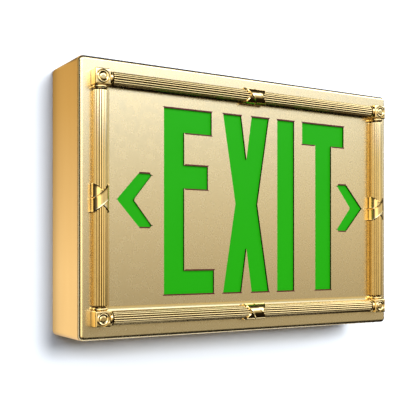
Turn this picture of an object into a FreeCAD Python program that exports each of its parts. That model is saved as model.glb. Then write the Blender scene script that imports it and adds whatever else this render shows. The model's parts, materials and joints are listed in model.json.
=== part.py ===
import FreeCAD, Part
import math
import os

# Wall-mounted emergency exit sign: a brass box whose hinged front cover has
# stencil openings over a lit green panel, framed by reed-and-ribbon moulding.
#
# Frame: the origin is where the axis of the wiring hole meets the wall plane.
# +X is to the right of a person facing the sign, +Y runs out of the back into
# the wall, +Z is up. The front faces -Y. Lengths are millimetres.

# ---------------------------------------------------------------- case
WIDTH = 320.5
HEIGHT = 221.0
DEPTH = 59.0             # wall plane to the flat front of the cover
WALL = 1.6               # sheet of the housing
CORNER_R = 4.0           # corners of the outline, seen from the front
BACK_EDGE_R = 1.6        # bend round the back of the housing

# ---------------------------------------------------------------- front cover
FACE_T = 1.7             # front sheet, which is the depth of the stencil
SKIRT = 3.2              # depth of the cover's turned edge
FACE_EDGE_R = 2.8        # rounding of the front edge
SEAM = 0.8               # shadow gap between skirt and housing
COVER_INSET = 0.2        # the cover is this much smaller all round
LIP_T = 1.3              # lip that enters the housing
LIP_REACH = 4.5          # how far the lip enters
RUN_GAP = 0.3            # clearance between pieces that move apart
LIP_HINGE_GAP = 9.0      # the lip stops this short of the hinge side

# ---------------------------------------------------------------- hinge
HINGE_FROM_END = 40.5    # middle of each hinge, from the top or bottom of the case
HINGE_SETBACK = 2.7      # axis behind the front edge of the housing
KNUCKLE_R = 1.6
KNUCKLE_L = 6.0          # each knuckle of the housing
COVER_KNUCKLE_L = 10.0
KNUCKLE_GAP = 0.3        # play along the pin
PIN_R = 0.9
PIN_CLEARANCE = 0.05     # radial, in the cover's knuckle
PIN_HEAD_R = 1.5
PIN_HEAD_H = 0.8
EAR_INSET = 2.0          # the cover's ear starts this far behind the face

# ---------------------------------------------------------------- lock screws
LOCK_FROM_SIDE = 14.0    # from the free side of the case
LOCK_FROM_SEAM = 6.0     # behind the front edge of the housing
LOCK_R = 1.5
LOCK_HEAD_R = 2.9
LOCK_HEAD_H = 1.4
LOCK_LENGTH = 7.0
LOCK_PLAY = 0.35         # slot clearance round the screw
LOCK_FLUSH = 0.1         # the head sits this far below the wall's face
LOCK_TAB_W = 12.0
LOCK_TAB_REACH = 11.0
LOCK_NUT_R = 3.2
LOCK_NUT_H = 2.4

# ---------------------------------------------------------------- stencil
# The legend is drawn for a case of this size and stretches with it.
LEGEND_FOR_WIDTH = 320.5
LEGEND_FOR_HEIGHT = 221.0
LETTER_H = 152.4
STROKE = 19.05
LETTER_GAP = 9.2
LEGEND_LEFT = -86.8      # left edge of the first letter
E_WIDTH = 48.2
E_TOP_ARM = 45.9
E_MIDDLE_ARM = 42.1
E_MIDDLE_Z = 20.6        # middle arm, above the middle of the letter
X_WIDTH = 48.3
X_ARM = 18.7             # width of an arm across the letter's top
X_WAIST = 23.0
X_CROTCH_Z = 38.8        # crotches above and below the middle
T_WIDTH = 49.8
CHEVRON_TIP_X = 129.0
CHEVRON_END_X = 97.0     # inner corner of the chevron's flat end
CHEVRON_END_W = 12.8
CHEVRON_NOTCH_X = 114.2
CHEVRON_H = 42.8
CHEVRON_CORNER_R = 1.2

# ---------------------------------------------------------------- moulding
FRAME_FROM_SIDE = 15.75  # centre lines of the upright rods, from the sides of the case
FRAME_FROM_TOP = 17.2    # centre lines of the level rods, from its top and bottom
BLOCK = 12.7             # square corner block
BLOCK_H = 9.4
BLOCK_EDGE_R = 0.8
ROSETTE_R = 5.1          # outer ring groove of the rosette
ROSETTE_INNER_R = 2.9
ROSETTE_GROOVE = 0.9     # width of each groove
ROSETTE_DEPTH = 0.6
ROD_R = 5.7              # over the reeds
ROD_TOP = 9.0            # height of the rod above the face
REEDS = 16               # reeds in a full circle
REED_R = 1.05
CORE_R = 4.5             # neck between reeds and collar
COLLAR_R = 6.05
COLLAR_L = 2.4
COLLAR_EDGE_R = 0.8
COLLAR_GROOVE = 0.9
TIE_WAIST = 10.5         # ribbon's width along the rod
TIE_PROUD = 0.5          # lower ribbon over the reeds
TIE_OVER = 0.8           # upper ribbon over the lower one
SCREW_FROM_ROD_END = 30.0

# ---------------------------------------------------------------- green panel
PANEL_SIDE_GAP = 7.5     # from the rods' centre lines to the panel's ends
PANEL_EDGE_GAP = 9.3     # and to its top and bottom edges
PANEL_T = 2.0
PANEL_CORNER_R = 2.0
CLIP_FROM_END = 75.0     # clips on the top and bottom edges, from the panel's ends
CLIP_BOSS_R = 3.2
CLIP_BOSS_GAP = 0.8      # boss to panel edge
CLIP_W = 7.0
CLIP_T = 0.6
CLIP_GRIP = 5.0          # overlap on the panel

# ---------------------------------------------------------------- screws
SCREW_R = 1.25
SCREW_HEAD_R = 2.5
SCREW_HEAD_H = 1.4
SCREW_BITE = 4.5         # length held by the piece that it fixes

# ---------------------------------------------------------------- back wall
WIRING_R = 11.1          # trade-size hole for the supply wires
BOX_SCREW_SPACING = 88.9
BOX_SCREW_R = 2.4
KEYHOLE_FROM_SIDE = 55.25
KEYHOLE_FROM_TOP = 62.5
KEYHOLE_HEAD_R = 4.5
KEYHOLE_SLOT_R = 2.2
KEYHOLE_RISE = 9.0
GROUND_X = 30.0
GROUND_Z = -30.0

# ---------------------------------------------------------------- lamps
LED_BOARD_END_GAP = 25.25   # from the side of the case to the board's end
LED_BOARD_H = 13.0
LED_BOARD_FROM_TOP = 37.5   # middle of the board, from the top or bottom of the case
BOARD_T = 1.6
LED_STANDOFF = 5.0
STANDOFF_R = 2.8
LED_COUNT = 12
LED_FROM_END = 14.0      # last lamp, from the board's end
LED_SIZE = 5.0
LED_H = 1.5
LED_LENS_R = 1.8
LED_LENS_H = 0.4

# ---------------------------------------------------------------- control board
BOARD_FROM_SIDE = 56.25  # middle of the board, from the side of the case
BOARD_W = 74.0
BOARD_H = 92.0
BOARD_STANDOFF = 6.0
BOARD_HOLE_INSET = 5.0
CORE_W = 34.0            # transformer core, across
CORE_H = 28.0
CORE_T = 17.0
COIL_W = 20.0
COIL_H = 38.0
COIL_T = 22.0
TRANSFORMER_Z = 22.0
RELAY = (19.5, 15.5, 15.0)
RELAY_AT = (-20.0, -14.0)
CAPACITOR_R = 6.3
CAPACITOR_H = 20.0
CAPACITOR_AT = (14.0, -14.0)
CAPACITOR_PITCH = 15.0
CAPACITOR_RIM = 0.6
TERMINAL = (17.0, 10.0, 9.0)
TERMINAL_AT = (-20.0, -34.0)
TERMINAL_WAYS = 3
TERMINAL_HOLE_R = 1.7
SOCKET = (8.0, 6.0, 7.0)
SOCKET_AT = (-30.0, 31.0)
SOCKET_WALL = 0.9

# ---------------------------------------------------------------- battery
CELL_R = 7.2
CELL_L = 50.0
CELLS = 4
BATTERY_FROM_SIDE = 52.25
STRAP_W = 12.0
STRAP_T = 1.0
STRAP_FOOT = 9.0

# ---------------------------------------------------------------- side fittings
FITTING_Y = -30.0        # from the wall, on the hinge side of the case
BUTTON_FROM_BOTTOM = 65.5
LAMP_OVER_BUTTON = 23.0
BUTTON_R = 2.6
BUTTON_PROUD = 3.2       # beyond its bushing
BUTTON_TRAVEL = 2.0
BUTTON_INSIDE = 7.0      # length of plunger inside the bushing
BUTTON_CLEARANCE = 0.05
BUTTON_EDGE = 0.5
BUSHING_R = 4.0
BUSHING_PROUD = 2.4
SWITCH_R = 6.0
SWITCH_L = 12.0
NUT_R = 6.5
NUT_H = 1.6
BEZEL_R = 5.2
BEZEL_H = 1.2
LENS_R = 3.0
LENS_PROUD = 2.2
LAMP_BODY_R = 3.6
LAMP_BODY_L = 9.0

# ---------------------------------------------------------------- top entry
CANOPY_R = 11.1          # hole for a ceiling stem, closed by a plug
PLUG_FLANGE = 2.0
PLUG_T = 1.2
PLUG_WALL = 1.0
PLUG_REACH = 5.0

# ---------------------------------------------------------------- derived
FACE_Y = -DEPTH                          # flat front
SKIRT_Y = FACE_Y + SKIRT                 # back edge of the cover's skirt
RIM_Y = SKIRT_Y + SEAM                   # front edge of the housing
FLOOR_Y = -WALL                          # inside of the back wall
SHEET_BACK_Y = FACE_Y + FACE_T           # back of the cover's front sheet
SIDE_X = WIDTH / 2
TOP_Z = HEIGHT / 2
HINGE_Z = TOP_Z - HINGE_FROM_END
HINGE_X = SIDE_X + KNUCKLE_R + RUN_GAP
HINGE_Y = RIM_Y + HINGE_SETBACK
COVER_W = WIDTH - 2 * COVER_INSET
COVER_H = HEIGHT - 2 * COVER_INSET
LIP_OUT = WALL + RUN_GAP                 # lip's outer face, from the case side
LOCK_X = LOCK_FROM_SIDE - SIDE_X
LOCK_Y = RIM_Y + LOCK_FROM_SEAM
FRAME_X = SIDE_X - FRAME_FROM_SIDE
FRAME_Z = TOP_Z - FRAME_FROM_TOP
ROD_AXIS = ROD_TOP - ROD_R               # rod's axis above the face
TIE_SPAN = TIE_WAIST + 2 * (ROD_R + TIE_PROUD + TIE_OVER)
PANEL_W = 2 * (FRAME_X - PANEL_SIDE_GAP)
PANEL_H = 2 * (FRAME_Z - PANEL_EDGE_GAP)
PANEL_BACK_Y = SHEET_BACK_Y + PANEL_T
CLIP_X = PANEL_W / 2 - CLIP_FROM_END
KEYHOLE_X = SIDE_X - KEYHOLE_FROM_SIDE
KEYHOLE_Z = TOP_Z - KEYHOLE_FROM_TOP
LED_BOARD_W = 2 * (SIDE_X - LED_BOARD_END_GAP)
LED_BOARD_Z = TOP_Z - LED_BOARD_FROM_TOP
LED_PITCH = (LED_BOARD_W - 2 * LED_FROM_END) / (LED_COUNT - 1)
LED_BOARD_Y = FLOOR_Y - LED_STANDOFF     # wall side of the lamp boards
LED_STANDOFF_X = LED_PITCH * (LED_COUNT / 2 - 1)   # between the last two lamps
BOARD_X = SIDE_X - BOARD_FROM_SIDE
BOARD_Y = FLOOR_Y - BOARD_STANDOFF       # wall side of the control board
BOARD_FRONT_Y = BOARD_Y - BOARD_T
BATTERY_X = BATTERY_FROM_SIDE - SIDE_X
BATTERY_Y = FLOOR_Y - CELL_R
BUTTON_Z = BUTTON_FROM_BOTTOM - TOP_Z
LAMP_Z = BUTTON_Z + LAMP_OVER_BUTTON

AXIS_X = FreeCAD.Vector(1, 0, 0)
AXIS_Y = FreeCAD.Vector(0, 1, 0)
AXIS_Z = FreeCAD.Vector(0, 0, 1)
TINY = 1e-6


# ---------------------------------------------------------------- shapes
def vec(x, y, z):
    return FreeCAD.Vector(x, y, z)


def block(x, y, z):
    """Box between the low and high value of each axis."""
    return Part.makeBox(x[1] - x[0], y[1] - y[0], z[1] - z[0], vec(x[0], y[0], z[0]))


def centred(x, y, z):
    """Box from (middle, length) in X and Z and (low, high) in Y."""
    return block((x[0] - x[1] / 2, x[0] + x[1] / 2), y, (z[0] - z[1] / 2, z[0] + z[1] / 2))


def disc_y(radius, y, x=0.0, z=0.0):
    """Cylinder along Y between two depths."""
    return Part.makeCylinder(radius, y[1] - y[0], vec(x, y[0], z), AXIS_Y)


def disc_x(radius, x, y, z):
    """Cylinder along X between two places."""
    return Part.makeCylinder(radius, x[1] - x[0], vec(x[0], y, z), AXIS_X)


def disc_z(radius, z, x, y):
    """Cylinder along Z between two heights."""
    return Part.makeCylinder(radius, z[1] - z[0], vec(x, y, z[0]), AXIS_Z)


def edges_along(solid, direction):
    """Straight edges of a solid that run in a direction."""
    chosen = []
    for edge in solid.Edges:
        if isinstance(edge.Curve, Part.Line):
            run = edge.Vertexes[-1].Point.sub(edge.Vertexes[0].Point)
            if run.cross(direction).Length < TINY:
                chosen.append(edge)
    return chosen


def edges_at_y(solid, y):
    """Edges of a solid that lie in one plane square to Y."""
    return [e for e in solid.Edges if abs(e.BoundBox.YMin - y) < TINY and abs(e.BoundBox.YMax - y) < TINY]


def round_corners(solid, radius, direction=AXIS_Y):
    return solid.makeFillet(radius, edges_along(solid, direction))


def slab(width, height, y, radius):
    """Plate with rounded corners, centred on the Y axis."""
    return round_corners(centred((0.0, width), y, (0.0, height)), radius)


def prism(points, y):
    """Outline of (x, z) corners, from one depth to another."""
    corners = [vec(px, y[0], pz) for px, pz in points]
    outline = Part.makePolygon(corners + corners[:1])
    return Part.Face(outline).extrude(vec(0, y[1] - y[0], 0))


def plan_prism(points, z):
    """Outline of (x, y) corners, from one height to another."""
    corners = [vec(px, py, z[0]) for px, py in points]
    outline = Part.makePolygon(corners + corners[:1])
    return Part.Face(outline).extrude(vec(0, 0, z[1] - z[0]))


def union(solids):
    """One solid from several that overlap or meet."""
    return solids[0].fuse(solids[1:]).removeSplitter()


def mirrored_x(solid):
    return solid.mirror(vec(0, 0, 0), AXIS_X)


def mirrored_z(solid):
    return solid.mirror(vec(0, 0, 0), AXIS_Z)


def pan_screw(length):
    """Screw along +Y: the head's underside is at y = 0, the shank towards -Y."""
    head = disc_y(SCREW_HEAD_R, (0.0, SCREW_HEAD_H))
    head = head.makeChamfer(SCREW_HEAD_H / 2, edges_at_y(head, SCREW_HEAD_H))
    shank = disc_y(SCREW_R, (-length, 0.0))
    return union([head, shank])


def placed(solid, x, y, z):
    copy = solid.copy()
    copy.translate(vec(x, y, z))
    return copy


# ---------------------------------------------------------------- stencil
def letter_e(left):
    top = LETTER_H / 2
    middle = (E_MIDDLE_Z - STROKE / 2, E_MIDDLE_Z + STROKE / 2)
    stem = left + STROKE
    return [
        (left, -top), (left + E_WIDTH, -top), (left + E_WIDTH, STROKE - top), (stem, STROKE - top),
        (stem, middle[0]), (left + E_MIDDLE_ARM, middle[0]), (left + E_MIDDLE_ARM, middle[1]),
        (stem, middle[1]), (stem, top - STROKE), (left + E_TOP_ARM, top - STROKE),
        (left + E_TOP_ARM, top), (left, top),
    ]


def letter_x(left):
    top = LETTER_H / 2
    right = left + X_WIDTH
    middle = left + X_WIDTH / 2
    waist = X_WAIST / 2
    return [
        (left, top), (left + X_ARM, top), (middle, X_CROTCH_Z), (right - X_ARM, top), (right, top),
        (middle + waist, 0.0), (right, -top), (right - X_ARM, -top), (middle, -X_CROTCH_Z),
        (left + X_ARM, -top), (left, -top), (middle - waist, 0.0),
    ]


def letter_i(left):
    top = LETTER_H / 2
    return [(left, -top), (left + STROKE, -top), (left + STROKE, top), (left, top)]


def letter_t(left):
    top = LETTER_H / 2
    stem = left + (T_WIDTH - STROKE) / 2
    return [
        (left, top), (left, top - STROKE), (stem, top - STROKE), (stem, -top), (stem + STROKE, -top),
        (stem + STROKE, top - STROKE), (left + T_WIDTH, top - STROKE), (left + T_WIDTH, top),
    ]


def chevron():
    half = CHEVRON_H / 2
    end = CHEVRON_END_X + CHEVRON_END_W
    return [
        (CHEVRON_END_X, half), (end, half), (CHEVRON_TIP_X, 0.0), (end, -half),
        (CHEVRON_END_X, -half), (CHEVRON_NOTCH_X, 0.0),
    ]


def stencil_cutters():
    """Tools for the letter and chevron openings, through the front sheet."""
    through = (FACE_Y - 1.0, SHEET_BACK_Y + 1.0)
    wider = WIDTH / LEGEND_FOR_WIDTH
    taller = HEIGHT / LEGEND_FOR_HEIGHT
    e_left = LEGEND_LEFT
    x_left = e_left + E_WIDTH + LETTER_GAP
    i_left = x_left + X_WIDTH + LETTER_GAP
    t_left = i_left + STROKE + LETTER_GAP
    outlines = [letter_e(e_left), letter_x(x_left), letter_i(i_left), letter_t(t_left), chevron()]
    cutters = [prism([(x * wider, z * taller) for x, z in outline], through) for outline in outlines]
    right = round_corners(cutters.pop(), CHEVRON_CORNER_R)
    return cutters + [right, mirrored_x(right)]


# ---------------------------------------------------------------- housing
def knuckle(z):
    """Barrel of a hinge between two heights, without its bore."""
    return disc_z(KNUCKLE_R, z, HINGE_X, HINGE_Y)


def housing_knuckle_spans():
    """Heights of the housing's knuckles, below and above each cover knuckle."""
    near = COVER_KNUCKLE_L / 2 + KNUCKLE_GAP
    far = near + KNUCKLE_L
    spans = []
    for middle in (-HINGE_Z, HINGE_Z):
        spans.append((middle - far, middle - near))
        spans.append((middle + near, middle + far))
    return spans


def lock_slot():
    """Countersunk slot in the top wall, open to the front, for a lock screw."""
    top = TOP_Z - LOCK_FLUSH
    under = top - LOCK_HEAD_H
    wide = LOCK_HEAD_R + LOCK_PLAY
    narrow = LOCK_R + LOCK_PLAY
    seat = Part.makeCone(narrow, wide, LOCK_HEAD_H, vec(LOCK_X, LOCK_Y, under), AXIS_Z)
    mouth = disc_z(wide, (top, TOP_Z + 1.0), LOCK_X, LOCK_Y)
    stem = disc_z(narrow, (TOP_Z - WALL - 1.0, under), LOCK_X, LOCK_Y)
    section = [
        (LOCK_X - narrow, TOP_Z - WALL - 1.0), (LOCK_X + narrow, TOP_Z - WALL - 1.0),
        (LOCK_X + narrow, under), (LOCK_X + wide, top), (LOCK_X + wide, TOP_Z + 1.0),
        (LOCK_X - wide, TOP_Z + 1.0), (LOCK_X - wide, top), (LOCK_X - narrow, under),
    ]
    run = prism(section, (RIM_Y - 1.0, LOCK_Y))
    return union([seat, mouth, stem, run])


def keyhole():
    """Hanging hole: a screw head enters below and the shank slides up the slot."""
    through = (FLOOR_Y - 1.0, 1.0)
    rise = KEYHOLE_Z + KEYHOLE_RISE
    entry = disc_y(KEYHOLE_HEAD_R, through, KEYHOLE_X, KEYHOLE_Z)
    slot = centred((KEYHOLE_X, 2 * KEYHOLE_SLOT_R), through, ((KEYHOLE_Z + rise) / 2, KEYHOLE_RISE))
    end = disc_y(KEYHOLE_SLOT_R, through, KEYHOLE_X, rise)
    return union([entry, slot, end])


def make_housing():
    shell = slab(WIDTH, HEIGHT, (RIM_Y, 0.0), CORNER_R)
    shell = shell.makeFillet(BACK_EDGE_R, edges_at_y(shell, 0.0))
    inner_r = max(CORNER_R - WALL, WALL / 2)
    cavity = slab(WIDTH - 2 * WALL, HEIGHT - 2 * WALL, (RIM_Y - 1.0, FLOOR_Y), inner_r)
    shell = shell.cut(cavity)
    lugs = []
    for span in housing_knuckle_spans():
        lugs.append(knuckle(span))
        lugs.append(block((SIDE_X - WALL / 2, HINGE_X), (HINGE_Y, HINGE_Y + KNUCKLE_R), span))
    shell = union([shell] + lugs)
    through = (FLOOR_Y - 1.0, 1.0)
    cuts = [disc_z(PIN_R, span, HINGE_X, HINGE_Y) for span in housing_knuckle_spans()]
    cuts.append(disc_y(WIRING_R, through))
    for side in (-1, 1):
        cuts.append(disc_y(BOX_SCREW_R, through, side * BOX_SCREW_SPACING / 2))
    cuts += [keyhole(), mirrored_x(keyhole())]
    cuts += [lock_slot(), mirrored_z(lock_slot())]
    cuts.append(disc_z(CANOPY_R, (TOP_Z - WALL - 1.0, TOP_Z + 1.0), 0.0, FITTING_Y))
    side_wall = (SIDE_X - WALL - 1.0, SIDE_X + 1.0)
    cuts.append(disc_x(BUSHING_R, side_wall, FITTING_Y, BUTTON_Z))
    cuts.append(disc_x(LAMP_BODY_R, side_wall, FITTING_Y, LAMP_Z))
    for x, z in screw_places_on_floor():
        cuts.append(disc_y(SCREW_R, through, x, z))
    return shell.cut(cuts)


# ---------------------------------------------------------------- front cover
def cover_lip():
    """Lip on three sides that enters the housing, with a tab for each lock screw."""
    outer_w = WIDTH - 2 * LIP_OUT
    outer_h = HEIGHT - 2 * LIP_OUT
    depth = (SHEET_BACK_Y - TINY, RIM_Y + LIP_REACH)
    deep = (SHEET_BACK_Y - TINY, RIM_Y + LOCK_TAB_REACH)
    bend = max(CORNER_R - LIP_OUT, LIP_T)
    ring = slab(outer_w, outer_h, depth, bend)
    ring = ring.cut(slab(outer_w - 2 * LIP_T, outer_h - 2 * LIP_T, depth, max(bend - LIP_T, LIP_T / 2)))
    hinge_side = block((SIDE_X - LIP_HINGE_GAP, SIDE_X), depth, (-TOP_Z, TOP_Z))
    ring = ring.cut(hinge_side)
    tab_z = (TOP_Z - LIP_OUT - LIP_T, TOP_Z - LIP_OUT)
    tab = block((LOCK_X - LOCK_TAB_W / 2, LOCK_X + LOCK_TAB_W / 2), deep, tab_z)
    return union([ring, tab, mirrored_z(tab)])


def cover_ear(middle):
    """Hinge knuckle of the cover, on a web that passes outside the housing."""
    z = (middle - COVER_KNUCKLE_L / 2, middle + COVER_KNUCKLE_L / 2)
    edge = COVER_W / 2
    start = FACE_Y + EAR_INSET
    slant = KNUCKLE_R * math.sqrt(0.5)
    web = plan_prism([
        (edge - 1.0, start), (edge, start), (HINGE_X + slant, HINGE_Y - slant), (HINGE_X, HINGE_Y),
        (HINGE_X - KNUCKLE_R, HINGE_Y), (HINGE_X - KNUCKLE_R, SKIRT_Y), (edge - 1.0, SKIRT_Y),
    ], z)
    return union([web, knuckle(z)])


def clip_places():
    """(x, z, turned) of the six panel clips: turned ones grip the ends."""
    beside_x = PANEL_W / 2 + CLIP_BOSS_GAP + CLIP_BOSS_R
    beside_z = PANEL_H / 2 + CLIP_BOSS_GAP + CLIP_BOSS_R
    places = [(side * beside_x, 0.0, True) for side in (-1, 1)]
    for x in (-CLIP_X, CLIP_X):
        places += [(x, -beside_z, False), (x, beside_z, False)]
    return places


def moulding_screw_places():
    """(x, z) of the screws that hold rods and blocks from behind."""
    along_x = FRAME_X - SCREW_FROM_ROD_END
    along_z = FRAME_Z - SCREW_FROM_ROD_END
    places = []
    for sx in (-1, 1):
        for sz in (-1, 1):
            places.append((sx * FRAME_X, sz * FRAME_Z))
            places.append((sx * along_x, sz * FRAME_Z))
            places.append((sx * FRAME_X, sz * along_z))
    return places


def make_front_cover():
    shell = slab(COVER_W, COVER_H, (FACE_Y, SKIRT_Y), CORNER_R)
    shell = shell.makeFillet(FACE_EDGE_R, edges_at_y(shell, FACE_Y))
    skirt_t = LIP_OUT + LIP_T - COVER_INSET
    hollow_r = max(CORNER_R - skirt_t, LIP_T / 2)
    hollow = slab(COVER_W - 2 * skirt_t, COVER_H - 2 * skirt_t, (SHEET_BACK_Y, SKIRT_Y + 1.0), hollow_r)
    shell = shell.cut(hollow)
    bosses = [disc_y(CLIP_BOSS_R, (SHEET_BACK_Y - FACE_T / 2, PANEL_BACK_Y), x, z) for x, z, _ in clip_places()]
    ears = [cover_ear(-HINGE_Z), cover_ear(HINGE_Z)]
    shell = union([shell, cover_lip()] + ears + bosses)
    cuts = stencil_cutters()
    cuts.append(disc_z(PIN_R + PIN_CLEARANCE, (-TOP_Z, TOP_Z), HINGE_X, HINGE_Y))
    for x, z in moulding_screw_places():
        cuts.append(disc_y(SCREW_R, (FACE_Y - 1.0, SHEET_BACK_Y + 1.0), x, z))
    for x, z, _ in clip_places():
        cuts.append(disc_y(SCREW_R, (SHEET_BACK_Y, PANEL_BACK_Y + 1.0), x, z))
    cuts.append(disc_z(LOCK_R, (-TOP_Z, TOP_Z), LOCK_X, LOCK_Y))
    return shell.cut(cuts)


def make_hinge_pin(middle):
    half = COVER_KNUCKLE_L / 2 + KNUCKLE_GAP + KNUCKLE_L
    shank = disc_z(PIN_R, (middle - half, middle + half), HINGE_X, HINGE_Y)
    head = disc_z(PIN_HEAD_R, (middle + half, middle + half + PIN_HEAD_H), HINGE_X, HINGE_Y)
    return union([shank, head])


def make_lock_screw():
    """Countersunk screw in the top wall, held by the cover's nut."""
    top = TOP_Z - LOCK_FLUSH
    under = top - LOCK_HEAD_H
    head = Part.makeCone(LOCK_R, LOCK_HEAD_R, LOCK_HEAD_H, vec(LOCK_X, LOCK_Y, under), AXIS_Z)
    shank = disc_z(LOCK_R, (top - LOCK_LENGTH, under), LOCK_X, LOCK_Y)
    return union([head, shank])


def make_lock_nut():
    top = TOP_Z - LIP_OUT - LIP_T
    nut = disc_z(LOCK_NUT_R, (top - LOCK_NUT_H, top), LOCK_X, LOCK_Y)
    return nut.cut(disc_z(LOCK_R, (top - LOCK_NUT_H, top), LOCK_X, LOCK_Y))


# ---------------------------------------------------------------- moulding
def reed_outline(x):
    """Closed outline of the reeded rod, square to X, round the rod's axis."""
    pitch = 2 * math.pi / REEDS
    centre_r = ROD_R - REED_R
    half_chord = centre_r * math.sin(pitch / 2)
    valley_r = centre_r * math.cos(pitch / 2) + math.sqrt(REED_R ** 2 - half_chord ** 2)

    def at(radius, angle):
        return vec(x, -ROD_AXIS - radius * math.cos(angle), radius * math.sin(angle))

    arcs = []
    for reed in range(REEDS):
        middle = reed * pitch
        start = at(valley_r, middle - pitch / 2)
        end = at(valley_r, middle + pitch / 2)
        arcs.append(Part.Arc(start, at(ROD_R, middle), end).toShape())
    return Part.Wire(arcs)


def reeded_stretch(start, end):
    """Reeds between two places along the rod."""
    return Part.Face(reed_outline(start)).extrude(vec(end - start, 0, 0))


def collar(start):
    ring = disc_x(COLLAR_R, (start, start + COLLAR_L), -ROD_AXIS, 0.0)
    rims = [e for e in ring.Edges if abs(e.BoundBox.XMax - e.BoundBox.XMin) < TINY]
    return ring.makeFillet(COLLAR_EDGE_R, rims)


def ribbon(radius, width, slope):
    """Band that crosses the middle of the rod at 45 degrees, seen from the front."""
    reach = TIE_SPAN
    band = prism([
        (-width / 2 - reach, -reach * slope), (width / 2 - reach, -reach * slope),
        (width / 2 + reach, reach * slope), (-width / 2 + reach, reach * slope),
    ], (-ROD_AXIS - 2 * radius, 2 * radius))
    sleeve = disc_x(radius, (-TIE_SPAN / 2, TIE_SPAN / 2), -ROD_AXIS, 0.0)
    return sleeve.common(band)


def ribbon_tie():
    """Two crossed ribbons, one over the other."""
    lower_r = ROD_R + TIE_PROUD
    upper_r = lower_r + TIE_OVER
    lower = ribbon(lower_r, TIE_WAIST, 1)
    upper = ribbon(upper_r, TIE_WAIST, -1)
    return [lower, upper]


def make_rod(length):
    """Horizontal rod on the plane y = 0, centred on the origin."""
    half = length / 2
    reeds_end = half - COLLAR_L - COLLAR_GROOVE
    pieces = [
        disc_x(CORE_R, (-half, half), -ROD_AXIS, 0.0),
        reeded_stretch(-reeds_end, reeds_end),
        collar(-half),
        collar(half - COLLAR_L),
    ]
    rod = union(pieces + ribbon_tie())
    under = block((-half - 1.0, half + 1.0), (0.0, 3 * ROD_R), (-2 * ROD_R, 2 * ROD_R))
    return rod.cut(under)


def with_screw_holes(solid):
    """The piece with the pilot holes of the moulding screws that reach it."""
    blind = (FACE_Y - SCREW_BITE, FACE_Y + TINY)
    holes = [disc_y(SCREW_R, blind, x, z) for x, z in moulding_screw_places()]
    return solid.cut(holes)


def make_horizontal_rod(side):
    rod = make_rod(2 * FRAME_X - BLOCK)
    return with_screw_holes(placed(rod, 0.0, FACE_Y, side * FRAME_Z))


def make_vertical_rod(side):
    rod = make_rod(2 * FRAME_Z - BLOCK)
    rod.rotate(vec(0, 0, 0), AXIS_Y, -90)
    return with_screw_holes(placed(rod, side * FRAME_X, FACE_Y, 0.0))


def rosette_groove(radius):
    """V groove round the middle of the block's front."""
    half = ROSETTE_GROOVE / 2
    front = -BLOCK_H
    corners = [
        vec(radius - half, front, 0), vec(radius, front + ROSETTE_DEPTH, 0),
        vec(radius + half, front, 0), vec(radius, front - 1.0, 0),
    ]
    outline = Part.Face(Part.makePolygon(corners + corners[:1]))
    return outline.revolve(vec(0, 0, 0), AXIS_Y, 360)


def make_corner_block(side_x, side_z):
    cube = centred((0.0, BLOCK), (-BLOCK_H, 0.0), (0.0, BLOCK))
    rounded = edges_along(cube, AXIS_Y) + edges_at_y(cube, -BLOCK_H)
    cube = cube.makeFillet(BLOCK_EDGE_R, rounded)
    cube = cube.cut([rosette_groove(ROSETTE_R), rosette_groove(ROSETTE_INNER_R)])
    return with_screw_holes(placed(cube, side_x * FRAME_X, FACE_Y, side_z * FRAME_Z))


def make_moulding_screws():
    screw = pan_screw(FACE_T + SCREW_BITE)
    return [placed(screw, x, SHEET_BACK_Y, z) for x, z in moulding_screw_places()]


# ---------------------------------------------------------------- green panel
def make_green_panel():
    return slab(PANEL_W, PANEL_H, (SHEET_BACK_Y, PANEL_BACK_Y), PANEL_CORNER_R)


def make_panel_clips():
    """Flat strips from each boss over the edge of the panel."""
    clips = []
    y = (PANEL_BACK_Y, PANEL_BACK_Y + CLIP_T)
    outer = CLIP_BOSS_R
    inner = CLIP_BOSS_R + CLIP_BOSS_GAP + CLIP_GRIP
    for x, z, turned in clip_places():
        inward_x = -math.copysign(1.0, x)
        inward_z = -math.copysign(1.0, z)
        if turned:
            ends = sorted((x - inward_x * outer, x + inward_x * inner))
            strip = block(ends, y, (z - CLIP_W / 2, z + CLIP_W / 2))
        else:
            ends = sorted((z - inward_z * outer, z + inward_z * inner))
            strip = block((x - CLIP_W / 2, x + CLIP_W / 2), y, ends)
        strip = round_corners(strip, 1.0)
        clips.append(strip.cut(disc_y(SCREW_R, y, x, z)))
    return clips


def make_clip_screws():
    screw = pan_screw(CLIP_T + PANEL_T)
    return [placed(screw, x, PANEL_BACK_Y + CLIP_T, z) for x, z, _ in clip_places()]


# ---------------------------------------------------------------- back wall fittings
def led_board_holes():
    return [(x, z) for z in (-LED_BOARD_Z, LED_BOARD_Z) for x in (-LED_STANDOFF_X, LED_STANDOFF_X)]


def control_board_holes():
    dx = BOARD_W / 2 - BOARD_HOLE_INSET
    dz = BOARD_H / 2 - BOARD_HOLE_INSET
    return [(BOARD_X + sx * dx, sz * dz) for sx in (-1, 1) for sz in (-1, 1)]


def strap_screw_places():
    reach = CELLS * CELL_R + STRAP_T + STRAP_FOOT / 2
    return [(BATTERY_X - reach, 0.0), (BATTERY_X + reach, 0.0)]


def screw_places_on_floor():
    """Holes in the back wall for the strap screws and the earth screw."""
    return strap_screw_places() + [(GROUND_X, GROUND_Z)]


def standoff(x, z, length):
    post = disc_y(STANDOFF_R, (FLOOR_Y - length, FLOOR_Y), x, z)
    return post.cut(disc_y(SCREW_R, (FLOOR_Y - length, FLOOR_Y), x, z))


def board_screw(x, z, board_y):
    """Pan-head screw that clamps a board on its standoff, head to the front."""
    screw = pan_screw(BOARD_T + SCREW_BITE - TINY)
    screw.rotate(vec(0, 0, 0), AXIS_Z, 180)
    return placed(screw, x, board_y - BOARD_T, z)


def make_led_standoffs():
    return [standoff(x, z, LED_STANDOFF) for x, z in led_board_holes()]


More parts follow.
